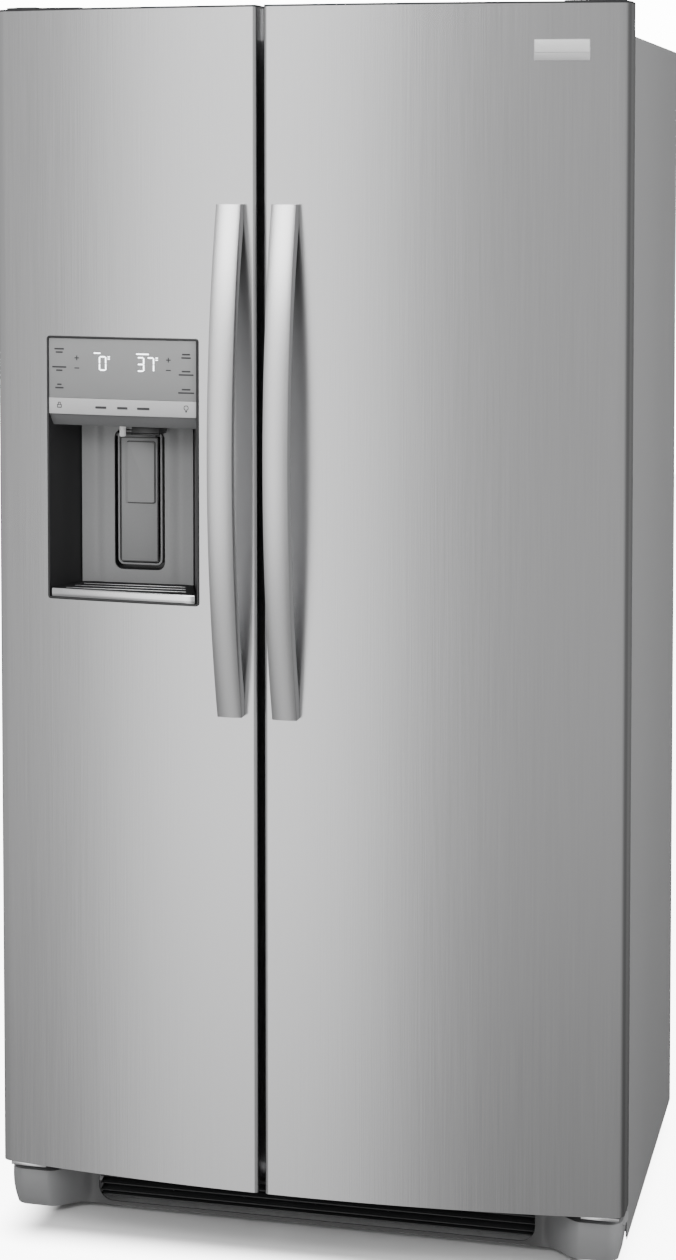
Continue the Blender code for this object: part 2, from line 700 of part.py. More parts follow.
def cabinet():
    side = (-CABINET_HALF, CABINET_HALF)
    shell = box(
        "cabinet_shell", side, depths(CABINET_FRONT, BODY_DEPTH - REAR_SHEET - GAP),
        (SIDE_BOTTOM, CABINET_TOP), PAINT,
    )
    hollow = box(
        "shell_hollow", shift(side, -SHEET), depths(CABINET_FRONT + SHEET, BODY_DEPTH + PAST),
        (0, CABINET_TOP - SHEET),
    )
    toe = box(
        "shell_toe", shift(side, -SHEET), depths(CABINET_FRONT - PAST, CABINET_FRONT + 2 * SHEET),
        (0, FRONT_FRAME_BOTTOM),
    )
    mouths = [
        box(
            "shell_mouth", shift(space, LINER + GAP),
            depths(CABINET_FRONT - PAST, CABINET_FRONT + 2 * SHEET),
            (INNER_FLOOR - LINER - GAP, INNER_CEILING + LINER + GAP),
        )
        for space in (FREEZER_SPACE, FRESH_SPACE)
    ]
    carve(shell, hollow, toe, *mouths)

    box(
        "rear_panel", shift(side, -SHEET), depths(BODY_DEPTH - REAR_SHEET, BODY_DEPTH),
        (MACHINE_TOP + 2 * GAP, CABINET_TOP - SHEET), PAINT,
    )

    foam = box(
        "cabinet_foam", (-FOAM_HALF, FOAM_HALF),
        depths(CABINET_FRONT + SHEET + GAP, BODY_DEPTH - REAR_SHEET - GAP),
        (FOAM_BOTTOM, CABINET_TOP - SHEET - GAP), FOAM,
    )
    machine = box(
        "machine_space", (-MACHINE_HALF, MACHINE_HALF), depths(MACHINE_DEPTH, BODY_DEPTH + PAST),
        (0, MACHINE_TOP),
    )
    carve(foam, machine)

    for name, space in (("freezer_liner", FREEZER_SPACE), ("fresh_food_liner", FRESH_SPACE)):
        liner = side_solid(
            name, compartment(LINER, CABINET_FRONT), *shift(space, LINER), material=WHITE
        )
        inside = side_solid(name + "_inside", compartment(0, CABINET_FRONT - PAST), *space)
        room = side_solid(
            name + "_room", compartment(LINER + GAP, CABINET_FRONT - PAST),
            *shift(space, LINER + GAP),
        )
        carve(liner, inside)
        carve(foam, room)
        ledges(liner, space)


def compartment(grow, front_depth):
    """Side outline of a compartment, with the step over the machine space."""
    return [
        (at(front_depth), INNER_FLOOR - grow),
        (at(HUMP_DEPTH + grow), INNER_FLOOR - grow),
        (at(HUMP_DEPTH + grow), HUMP_TOP - grow),
        (at(INNER_BACK + grow), HUMP_TOP - grow),
        (at(INNER_BACK + grow), INNER_CEILING + grow),
        (at(front_depth), INNER_CEILING + grow),
    ]


def ledges(liner, space):
    """Rails moulded on the liner's side walls, which shelves and drawers rest on."""
    if space is FRESH_SPACE:
        heights = [height - SHELF_THICK for height in FRESH_SHELVES.values()]
        heights.append(UPPER_DRAWER_LOW)
    else:
        heights = [FREEZER_SHELF - SHELF_THICK, ICE_BIN_LOW]
    for height in heights:
        top = height - GAP
        for wall_x, inward in ((space[0], 1), (space[1], -1)):
            x = sorted((wall_x - inward * LINER / 2, wall_x + inward * LEDGE_WIDTH))
            ledge = box(
                "ledge", x, depths(SHELF_FRONT, INNER_BACK + LINER / 2), (top - LEDGE_HEIGHT, top),
            )
            join(liner, ledge)


def shelf(name, space, height, material):
    """A plate with a deeper rail along its front."""
    x = shift(space, -SLIDING)
    plate = box(
        name, x, depths(SHELF_FRONT, INNER_BACK - SHELF_BACK_ROOM),
        (height - SHELF_THICK, height), material,
    )
    rail = box(
        name + "_rail", shift(x, -LEDGE_WIDTH - SLIDING),
        depths(SHELF_FRONT - LIP, SHELF_FRONT + SHELF_THICK), (height - SHELF_RAIL, height),
    )
    return join(plate, rail)


def fittings():
    for name, height in FRESH_SHELVES.items():
        shelf(name, FRESH_SPACE, height, GLASS)
    shelf("freezer_shelf", FREEZER_SPACE, FREEZER_SHELF, GLASS)

    inside = shift(FREEZER_SPACE, -SLIDING)
    cover = box(
        "evaporator_cover", inside, depths(DUCT_DEPTH, INNER_BACK - GAP), (DUCT_LOW, DUCT_HIGH),
        WHITE,
    )
    duct = box(
        "duct_space", shift(inside, -DUCT_WALL - LEDGE_WIDTH),
        depths(DUCT_DEPTH + DUCT_WALL, INNER_BACK + PAST), (DUCT_LOW - PAST, DUCT_HIGH - DUCT_WALL),
    )
    through = depths(DUCT_DEPTH - PAST, INNER_BACK + PAST)
    notches = [
        box(
            "duct_notch", shift((x, x), LEDGE_WIDTH + SLIDING), through,
            (top - GAP - LEDGE_HEIGHT - SLIDING, top + SHELF_THICK + SLIDING),
        )
        for top in (FREEZER_SHELF - SHELF_THICK, ICE_BIN_LOW)
        for x in FREEZER_SPACE
    ]
    shelf_slot = box(
        "duct_shelf_slot", shift(FREEZER_SPACE, PAST),
        depths(DUCT_DEPTH - PAST, INNER_BACK - SHELF_BACK_ROOM + SLIDING),
        (FREEZER_SHELF - SHELF_THICK - SLIDING, FREEZER_SHELF + SLIDING),
    )
    slots = []
    for row in range(AIR_SLOTS):
        z = FREEZER_SHELF + AIR_SLOT_RISE + AIR_SLOT_PITCH * row
        slots.append(
            box(
                "air_slot", shift(FREEZER_SPACE, -AIR_SLOT_SIDE),
                depths(DUCT_DEPTH - PAST, DUCT_DEPTH + 2 * DUCT_WALL), (z, z + AIR_SLOT),
            )
        )
    carve(cover, duct, *notches, shelf_slot, *slots)

    maker_top = ICE_MAKER_LOW + ICE_MAKER_HEIGHT
    maker = box(
        "ice_maker", shift(FREEZER_SPACE, -ICE_MAKER_SIDE), depths(ICE_MAKER_FRONT, DUCT_DEPTH - GAP),
        (ICE_MAKER_LOW, maker_top), WHITE,
    )
    mould = box(
        "ice_mould", shift(FREEZER_SPACE, -MOULD_SIDE),
        depths(ICE_MAKER_FRONT + MOULD_FRONT, DUCT_DEPTH - MOULD_BACK),
        (maker_top - MOULD_DEPTH, maker_top + PAST),
    )
    carve(maker, mould)


def drawers():
    fresh = shift(FRESH_SPACE, -SLIDING)
    freezer = shift(FREEZER_SPACE, -SLIDING)
    low_back = HUMP_DEPTH - DRAWER_LIFT
    high_back = INNER_BACK - SHELF_BACK_ROOM
    lower = tub(
        "lower_crisper", fresh, depths(DRAWER_FRONT, low_back),
        (LOWER_DRAWER_LOW, LOWER_DRAWER_LOW + LOWER_DRAWER_HEIGHT), DRAWER_WALL, CLEAR,
    )
    upper = tub(
        "upper_crisper", fresh, depths(DRAWER_FRONT, high_back),
        (UPPER_DRAWER_LOW, UPPER_DRAWER_LOW + UPPER_DRAWER_HEIGHT), DRAWER_WALL, CLEAR,
    )
    basket = tub(
        "freezer_basket", freezer, depths(DRAWER_FRONT, low_back),
        (LOWER_DRAWER_LOW, LOWER_DRAWER_LOW + BASKET_HEIGHT), DRAWER_WALL, WHITE,
    )
    rim = ICE_BIN_LOW + ICE_BIN_HEIGHT
    ice = tub(
        "ice_bin", freezer, depths(ICE_BIN_FRONT, ICE_BIN_BACK), (ICE_BIN_LOW, rim), DRAWER_WALL,
        CLEAR,
    )
    outlet = box(
        "ice_outlet", shift((CHUTE_X, CHUTE_X), CHUTE_WIDTH / 2),
        depths(ICE_BIN_FRONT - PAST, ICE_BIN_FRONT + 2 * DRAWER_WALL),
        (rim - ICE_OUTLET_DROP - ICE_OUTLET_HEIGHT, rim - ICE_OUTLET_DROP),
    )
    carve(ice, outlet)
    for name, drawer, back in (
        ("lower_crisper_slide", lower, low_back), ("upper_crisper_slide", upper, high_back),
        ("freezer_basket_slide", basket, low_back), ("ice_bin_slide", ice, ICE_BIN_BACK),
    ):
        hang(pivot(name, (drawer.location.x, at(back), drawer.location.z)), drawer)


# Doors: a folded steel skin with plastic ends, foam, a plastic liner and a magnetic seal


def door(name, edge_x, outward, bins, depth, space, handle_x):
    """One door. edge_x is its side at the gap, outward points from there to its hinge, and bins
    maps the name of each of its bins to a height; they reach back to depth."""
    outer_x = outward * HALF
    x = (min(edge_x, outer_x), max(edge_x, outer_x))
    rounds = (OUTER_ROUND, INNER_ROUND) if outward < 0 else (INNER_ROUND, OUTER_ROUND)
    pin_x = outward * PIN_X

    plan = door_plan(x, rounds, DOOR_EDGE)
    folded = [(x[0] + LIP, at(DOOR_EDGE)), *plan, (x[1] - LIP, at(DOOR_EDGE))]
    skin = wrap(name + "_door_skin", folded, (DOOR_BOTTOM, DOOR_TOP), SKIN, STEEL)

    filled = door_plan(x, rounds, DOOR_EDGE - SKIN - GAP, SKIN + GAP)
    ends = []
    for end, low in (("top", DOOR_TOP - CAP_HEIGHT), ("bottom", DOOR_BOTTOM + GAP)):
        cap = plan_solid(f"{name}_door_{end}_cap", filled, low, low + CAP_HEIGHT - GAP, DARK)
        bore = rod(
            "pin_bore", (pin_x, at(PIN_DEPTH), low + CAP_HEIGHT / 2), "Z",
            PIN_RADIUS + RUNNING, 2 * CAP_HEIGHT,
        )
        ends.append(carve(cap, bore))
    core = plan_solid(
        name + "_door_foam", filled, DOOR_BOTTOM + CAP_HEIGHT + GAP, DOOR_TOP - CAP_HEIGHT - GAP,
        FOAM,
    )

    seal_x = sorted((edge_x + outward * SEAL_EDGE, pin_x - outward * SEAL_HINGE_INSET))
    seal_z = (DOOR_BOTTOM + SEAL_EDGE, CABINET_TOP - SEAL_TOP_INSET)
    seal = box(
        name + "_door_gasket", seal_x, depths(SEAL_FRONT, CABINET_FRONT - GAP), seal_z, SEAL
    )
    seal_hole = box(
        "seal_hole", shift(seal_x, -SEAL_WIDTH), depths(DOOR_EDGE, CABINET_FRONT + PAST),
        shift(seal_z, -SEAL_WIDTH),
    )
    carve(seal, seal_hole)

    liner = box(
        name + "_door_liner", shift(x, -2 * SKIN),
        depths(DOOR_EDGE + GAP, DOOR_EDGE + GAP + DOOR_LINER),
        shift((DOOR_BOTTOM, DOOR_TOP), -2 * SKIN), WHITE,
    )
    if outward > 0:
        dyke_x = (space[0] + DYKE_SWING_INSET, space[1] - DYKE_HINGE_INSET)
    else:
        dyke_x = (space[0] + DYKE_HINGE_INSET, space[1] - DYKE_SWING_INSET)
    dyke_z = (INNER_FLOOR + DYKE_END_INSET, INNER_CEILING - DYKE_END_INSET)
    dyke = box(
        name + "_dyke", dyke_x, depths(DOOR_EDGE + GAP + DOOR_LINER / 2, DYKE_DEPTH), dyke_z
    )
    dyke_hole = box(
        name + "_dyke_hole", shift(dyke_x, -DYKE_WIDTH), depths(DOOR_EDGE, DYKE_DEPTH + PAST),
        shift(dyke_z, -DYKE_WIDTH),
    )
    carve(dyke, dyke_hole)
    join(liner, dyke)

    bin_x = shift(dyke_x, -DYKE_WIDTH - GAP)
    hung = [
        tub(bin_name, bin_x, depths(SEAL_FRONT, depth), (low, low + BIN_HEIGHT), BIN_WALL, CLEAR)
        for bin_name, low in bins.items()
    ]

    grip = handle(name + "_door_handle", handle_x)
    hinge = pivot(name + "_door_hinge", (pin_x, at(PIN_DEPTH), 0))
    hang(hinge, skin, *ends, core, seal, liner, *hung, grip)
    return hinge, skin, core, liner


def handle(name, centre_x):
    """A bar bowed away from the door, whose two ends stand on it."""
    middle_z = (HANDLE_LOW + HANDLE_HIGH) / 2
    half = (HANDLE_HIGH - HANDLE_LOW) / 2
    face = front(max(abs(centre_x) - HANDLE_WIDTH / 2, 0)) - GAP
    foot = HANDLE_BOW * (1 - (1 - HANDLE_FOOT) ** 2)

    def bow(t):
        return HANDLE_BOW * (1 - t * t)

    steps = 18
    shares = [-1 + 2 * i / steps for i in range(steps + 1)]
    outside = [(face - HANDLE_BAR - bow(t), middle_z + t * half) for t in shares]
    stretch = HANDLE_BOW / (HANDLE_BOW - foot)
    inside = [
        (face - max(0.0, (bow(t) - foot) * stretch), middle_z + t * half)
        for t in reversed(shares)
    ]
    low_x, high_x = shift((centre_x, centre_x), HANDLE_WIDTH / 2)
    bar = side_solid(name, outside + inside, low_x, high_x, HANDLE_STEEL)
    return bevel(bar, HANDLE_EDGE, 2, 50)


def badge():
    x = (BADGE_LEFT, BADGE_LEFT + BADGE_WIDTH)
    z = (BADGE_LOW, BADGE_LOW + BADGE_HEIGHT)
    return arc_slab("badge", x, z, -GAP - BADGE_THICK, (-GAP,), SILVER, 4)


# Dispenser: a moulded niche let into the freezer door, with what it holds


def ceiling_height(y):
    """Height of the niche's sloping ceiling at y."""
    mouth = front(DISPENSER_MIDDLE)
    share = (y - mouth) / (at(NICHE_DEPTH) - mouth)
    return NICHE_TOP - NICHE_DROP * max(0.0, share)


def niche_plan(x):
    """Plan of the niche: side walls that close in towards the back wall."""
    left, right = x
    return [
        (left, at(-HANDLE_PROUD)), (left, front(left)),
        (left + NICHE_TAPER, at(NICHE_DEPTH)), (right - NICHE_TAPER, at(NICHE_DEPTH)),
        (right, front(right)), (right, at(-HANDLE_PROUD)),
    ]


def leaning_block(name, grow, stretch=1.0):
    """The chute's outer shape, or with grow the room it needs."""
    block = box(
        name, shift((CHUTE_X, CHUTE_X), CHUTE_WIDTH / 2 + grow),
        shift((0, 0), CHUTE_THICK / 2 + grow), shift((0, 0), CHUTE_STOCK * stretch / 2),
    )
    lean = math.radians(CHUTE_LEAN)
    foot = Vector((CHUTE_X, at(CHUTE_DEPTH), CHUTE_LOW))
    along = Vector((0, math.sin(lean), math.cos(lean)))
    block.location = foot + along * (CHUTE_STOCK / 2 - CHUTE_STOCK_FOOT)
    block.rotation_euler = (-lean, 0, 0)
    return block


def dispenser(door_hinge, skin, core, liner):
    rim_x = (DISPENSER_LEFT, DISPENSER_LEFT + DISPENSER_WIDTH)
    rim_z = (DISPENSER_LOW, DISPENSER_LOW + DISPENSER_HEIGHT)
    body_x = shift(rim_x, -RIM)
    niche_x = shift(body_x, -NICHE_WALL)
    body_low = DISPENSER_LOW + NICHE_WALL
    body_top = rim_z[1] - NICHE_WALL
    niche_floor = body_low + NICHE_WALL
    recess_x = shift((RECESS_MIDDLE, RECESS_MIDDLE), RECESS_WIDTH / 2)

    housing = arc_slab("dispenser_housing", rim_x, rim_z, -RIM_PROUD, (-GAP,), DARK, 8)
    low_body = arc_slab(
        "housing_low", body_x, (body_low, NICHE_TOP + BODY_RISE), -RIM_PROUD / 2, HOUSING_BACK
    )
    high_body = arc_slab(
        "housing_high", body_x, (NICHE_TOP - BODY_LAP, body_top), -RIM_PROUD / 2,
        (PANEL_SEAT + SEAT_WALL,),
    )
    join(housing, low_body, high_body)
    niche = plan_solid("niche", niche_plan(niche_x), niche_floor, NICHE_TOP)
    for vertex in niche.data.vertices:
        if vertex.co.z > 0:
            vertex.co.z += ceiling_height(vertex.co.y) - NICHE_TOP
    panel_z = (NICHE_TOP + NICHE_WALL, body_top - NICHE_WALL)
    seat = arc_slab("panel_seat", niche_x, panel_z, -3 * RIM_PROUD, (PANEL_SEAT,))
    recess = box(
        "paddle_recess", recess_x, depths(NICHE_DEPTH - PAST, RECESS_DEPTH),
        (RECESS_LOW, RECESS_HIGH),
    )
    pin_place = (RECESS_MIDDLE, at(PADDLE_PIVOT_DEPTH), PADDLE_PIVOT_Z)
    pin_length = RECESS_WIDTH + 2 * PADDLE_PIN_REACH
    sockets = rod(
        "paddle_sockets", pin_place, "X", PADDLE_PIN + RUNNING, pin_length + 2 * SLIDING, sides=16
    )
    nozzle_place = (NOZZLE_X, at(NOZZLE_DEPTH), NICHE_TOP)
    nozzle_hole = rod("nozzle_hole", nozzle_place, "Z", NOZZLE_RADIUS + GAP, NOZZLE_ROOM, sides=16)
    carve(housing, niche, seat, recess, sockets, nozzle_hole, leaning_block("chute_room", GAP))

    in_front = at(-HANDLE_PROUD)
    window_x = shift(body_x, GAP)
    window_z = shift((body_low, body_top), GAP)
    carve(skin, box("skin_window", window_x, (in_front, at(DOOR_EDGE / 2)), window_z))

    low_room = box(
        "housing_room", window_x, (in_front, at(HOUSING_BACK + GAP)),
        (window_z[0], NICHE_TOP + BODY_RISE + GAP),
    )
    high_room = arc_slab(
        "housing_high_room", window_x, (NICHE_TOP - BODY_LAP, window_z[1]), -RIM_PROUD,
        (PANEL_SEAT + SEAT_WALL + GAP,),
    )
    bulge_x = shift(body_x, FOAM_MARGIN)
    bulge_z = (body_low - FOAM_MARGIN_LOW, FOAM_BULGE_TOP)
    bulge = box("foam_bulge", bulge_x, depths(DOOR_EDGE / 2, FOAM_BULGE_DEPTH), bulge_z)
    nozzle_room = rod("nozzle_room", nozzle_place, "Z", NOZZLE_RADIUS + GAP, NOZZLE_ROOM, sides=16)
    join(core, bulge)
    carve(core, low_room, high_room, leaning_block("foam_chute_room", GAP), nozzle_room)

    swelling_back = FOAM_BULGE_DEPTH + BULGE_WALL
    swelling = box(
        "liner_swelling", shift(bulge_x, BULGE_WALL), depths(DOOR_EDGE + 2 * GAP, swelling_back),
        shift(bulge_z, BULGE_WALL),
    )
    bulge_room = box(
        "bulge_room", shift(bulge_x, GAP), depths(0, FOAM_BULGE_DEPTH + GAP), shift(bulge_z, GAP)
    )
    join(liner, swelling)
    carve(liner, bulge_room, leaning_block("liner_chute_room", GAP))

    chute = leaning_block("ice_chute", 0)
    chute.data.materials.append(DARK)
    bore = leaning_block("chute_bore", -CHUTE_WALL, 1.2)
    wide = shift((CHUTE_X, CHUTE_X), CHUTE_WIDTH)
    below = box(
        "below_chute", wide, depths(-CHUTE_STOCK, CHUTE_STOCK), (CHUTE_LOW - CHUTE_STOCK, CHUTE_LOW)
    )
    behind = box(
        "behind_chute", wide, depths(swelling_back, swelling_back + CHUTE_STOCK),
        shift((CHUTE_LOW, CHUTE_LOW), 2 * CHUTE_STOCK),
    )
    carve(chute, bore, below, behind)

    panel = arc_slab(
        "dispenser_panel", shift(niche_x, -GAP), shift(panel_z, -GAP), -RIM_PROUD - PANEL_PROUD,
        (PANEL_THICK,), GREY, 8,
    )

    nozzle = rod(
        "water_nozzle", (NOZZLE_X, at(NOZZLE_DEPTH), (NOZZLE_LOW + NOZZLE_TOP) / 2), "Z",
        NOZZLE_RADIUS, NOZZLE_TOP - NOZZLE_LOW, WHITE, 16,
    )

    middle = (RECESS_MIDDLE, RECESS_MIDDLE)
    paddle = box(
        "dispenser_paddle", shift(middle, PADDLE_WIDTH / 2),
        depths(PADDLE_FACE, PADDLE_FACE + PADDLE_THICK), (PADDLE_LOW, PADDLE_HIGH), GREY,
    )
    pad = box(
        "paddle_pad", shift(middle, PAD_WIDTH / 2),
        depths(PADDLE_FACE - PAD_THICK, PADDLE_FACE + PAD_THICK), (PAD_HIGH - PAD_HEIGHT, PAD_HIGH),
    )
    web_top = PADDLE_PIVOT_Z + WEB_LAP
    web = box(
        "paddle_web", shift(middle, PADDLE_WIDTH / 2 - WEB_SIDE),
        depths(PADDLE_FACE + PAD_THICK, PADDLE_PIVOT_DEPTH + WEB_LAP),
        (web_top - WEB_HEIGHT, web_top),
    )
    spindle = rod("paddle_spindle", pin_place, "X", PADDLE_PIN, pin_length, sides=16)
    join(paddle, pad, web, spindle)

    flap_front = CHUTE_DEPTH - CHUTE_THICK / 2
    flap_top = CHUTE_LOW - GAP
    flap = box(
        "chute_flap", shift((CHUTE_X, CHUTE_X), CHUTE_WIDTH / 2),
        depths(flap_front, flap_front + CHUTE_THICK), (flap_top - FLAP_THICK, flap_top), DARK,
    )
    flap_pin = (CHUTE_X, at(flap_front), flap_top - FLAP_PIN)
    join(flap, rod("flap_knuckle", flap_pin, "X", FLAP_PIN, CHUTE_WIDTH, sides=12))

    tray_top = niche_floor + TRAY_HEIGHT
    tray = plan_solid("drip_tray", tray_plan(niche_x), niche_floor + GAP, tray_top, CHROME)
    for i in range(TRAY_SLOTS):
        y = at(NICHE_DEPTH - TRAY_BACK - TRAY_PITCH * i)
        slot = box(
            "tray_slot", shift(niche_x, -NICHE_TAPER - TRAY_SIDE), (y - TRAY_SLOT, y),
            (tray_top - TRAY_SLOT_DEPTH, tray_top + TRAY_LIP),
        )
        carve(tray, slot)

    hang(door_hinge, housing, chute, panel, nozzle)
    for name, place, thing in (
        ("paddle_pivot", pin_place, paddle),
        ("flap_pivot", flap_pin, flap),
        ("tray_slide", (RECESS_MIDDLE, at(0), DISPENSER_LOW), tray),
    ):
        joint = pivot(name, place)
        hang(door_hinge, joint)
        thing.parent = joint
        thing.matrix_parent_inverse = Matrix.Translation(-Vector(place))


def tray_plan(niche_x):
    """The drip tray fills the niche's floor, and its lip stands just proud of the rim."""
    left, right = niche_x[0] + SLIDING, niche_x[1] - SLIDING
    lip = arc_points(left, right, -TRAY_LIP, 8)
    back = at(NICHE_DEPTH) - SLIDING
    return [
        *lip, (right, front(right)), (right - NICHE_TAPER, back), (left + NICHE_TAPER, back),
        (left, front(left)),
    ]


# Hinges


def hinges(name, side):
    """Upper and lower hinge of one door, and the upper one's cover. side is -1 left or +1 right."""

    def across(inner, outer):
        return tuple(sorted((side * inner, side * outer)))

    arm_low = DOOR_TOP + ARM_LIFT
    arm_top = arm_low + ARM_THICK
    base_inner = HINGE_BASE_OUTER - HINGE_BASE_WIDTH
    base_x = across(base_inner, HINGE_BASE_OUTER)
    arm_x = across(HINGE_BASE_OUTER - ARM_WIDTH, HINGE_BASE_OUTER)
    riser_back = HINGE_RISER + HINGE_BASE_THICK
    on_cabinet = CABINET_TOP + GAP
    plate = box(
        name + "_upper_hinge", base_x, depths(HINGE_RISER, HINGE_BASE_BACK),
        (on_cabinet, on_cabinet + HINGE_BASE_THICK), ZINC,
    )
    riser = box("riser", base_x, depths(HINGE_RISER, riser_back), (on_cabinet + GAP, arm_top))
    arm = box("arm", arm_x, depths(ARM_FRONT, riser_back - GAP), (arm_low, arm_top - GAP))
    pin_low = DOOR_TOP - PIN_LENGTH
    pin_top = arm_low + ARM_THICK / 2
    pin = rod(
        "upper_pin", (side * PIN_X, at(PIN_DEPTH), (pin_low + pin_top) / 2), "Z", PIN_RADIUS,
        pin_top - pin_low,
    )
    head = rod(
        "arm_head", (side * PIN_X, at(PIN_DEPTH), arm_low + ARM_THICK / 2 - GAP), "Z",
        ARM_HEAD_RADIUS, ARM_THICK - 3 * GAP,
    )
    join(plate, riser, arm, head, pin)

    cover_x = across(base_inner - COVER_ROOM, HINGE_BASE_OUTER + COVER_ROOM)
    cover_top = arm_top + COVER_TOP_ROOM + COVER_WALL
    cover = box(
        name + "_hinge_cover", cover_x, depths(COVER_FRONT, COVER_BACK), (on_cabinet, cover_top),
        DARK,
    )
    hollow = box(
        "cover_hollow", shift(cover_x, -COVER_WALL),
        depths(COVER_FRONT + COVER_WALL, COVER_BACK - COVER_WALL),
        (CABINET_TOP - PAST, cover_top - COVER_WALL),
    )
    slot = box(
        "arm_slot", shift(arm_x, 2 * GAP), depths(COVER_FRONT - PAST, COVER_FRONT + 2 * COVER_WALL),
        (arm_low - COVER_TOP_ROOM, arm_top + GAP),
    )
    carve(cover, hollow, slot)

    low_x = across(LOWER_PLATE_OUTER - LOWER_PLATE_WIDTH, LOWER_PLATE_OUTER)
    flange_back = FRAME_FRONT - GAP
    inside_plate = LOWER_PLATE_LOW + LOWER_PLATE_THICK / 2
    low = box(
        name + "_lower_hinge", low_x, depths(LOWER_PLATE_FRONT, flange_back),
        (LOWER_PLATE_LOW, LOWER_PLATE_LOW + LOWER_PLATE_THICK), ZINC,
    )
    flange = box(
        "lower_flange", low_x, depths(flange_back - LOWER_FLANGE, flange_back - GAP),
        (LOWER_FLANGE_LOW, inside_plate),
    )
    posts = [
        rod(
            post, (side * PIN_X, at(PIN_DEPTH), (inside_plate + top) / 2), "Z", radius,
            top - inside_plate,
        )
        for post, radius, top in (
            ("bush", BUSH_RADIUS, DOOR_BOTTOM - BUSH_LOW_ROOM),
            ("lower_pin", PIN_RADIUS, DOOR_BOTTOM + PIN_LENGTH),
        )
    ]
    join(low, flange, *posts)


# Base: kick plate with its two leg covers, grille, chassis pan, feet and rollers


def toe_plan(wall):
    """Plan of the kick plate: it swells forward over each levelling leg. With wall, of its hollow."""
    outer = CABINET_HALF - SHEET - wall
    swell = []
    for i in range(SWELL_STEPS + 1):
        share = i / SWELL_STEPS
        ease = share * share * (3 - 2 * share)
        x = TOE_SWELL_START + (TOE_SWELL_END - TOE_SWELL_START) * share - wall * (1 - share)
        swell.append((x, at(TOE_FRONT + (LEG_FRONT - TOE_FRONT) * ease + wall)))
    corner = []
    for i in range(LEG_ROUND_STEPS + 1):
        turn = math.pi / 2 * i / LEG_ROUND_STEPS
        x = outer - LEG_ROUND * (1 - math.sin(turn))
        corner.append((x, at(LEG_FRONT + wall + LEG_ROUND * (1 - math.cos(turn)))))
    right = [*swell, *corner, (outer, at(TOE_BACK + (PAST if wall else 0)))]
    return [*right, *((-x, y) for x, y in reversed(right))]


def kick_plate():
    plate = plan_solid("kick_plate", toe_plan(0), TOE_LOW, TOE_TOP, GREY)
    hollow = plan_solid(
        "kick_plate_hollow", toe_plan(TOE_WALL), TOE_LOW + TOE_WALL, TOE_TOP - TOE_WALL
    )
    window_x = (-GRILLE_HALF, GRILLE_HALF)
    window_z = (TOE_LOW + TOE_RAIL, TOE_TOP - TOE_WALL)
    carve(plate, hollow, box("grille_window", window_x, depths(0, TOE_BACK + PAST), window_z))

    grille_x = shift(window_x, -GAP)
    grille_z = (window_z[0] + GAP, window_z[1] - 2 * GAP)
    grille = box("base_grille", grille_x, depths(GRILLE_FRONT, TOE_BACK), grille_z, DARK)
    hollow = box(
        "grille_hollow", shift(grille_x, -GRILLE_WALL),
        depths(GRILLE_FRONT + GRILLE_WALL, TOE_BACK + PAST), shift(grille_z, -GRILLE_WALL),
    )
    carve(grille, hollow)
    used = (LOUVRES - 1) * LOUVRE_PITCH + LOUVRE_GAP
    first = (grille_z[0] + grille_z[1] - used) / 2
    for row in range(LOUVRES):
        z = first + row * LOUVRE_PITCH
        for side in (-1, 1):
            x = tuple(sorted((side * LOUVRE_RIB / 2, side * (GRILLE_HALF - LOUVRE_END))))
            y = shift(depths(GRILLE_FRONT, GRILLE_FRONT), PAST)
            carve(grille, box("louvre", x, y, (z, z + LOUVRE_GAP)))


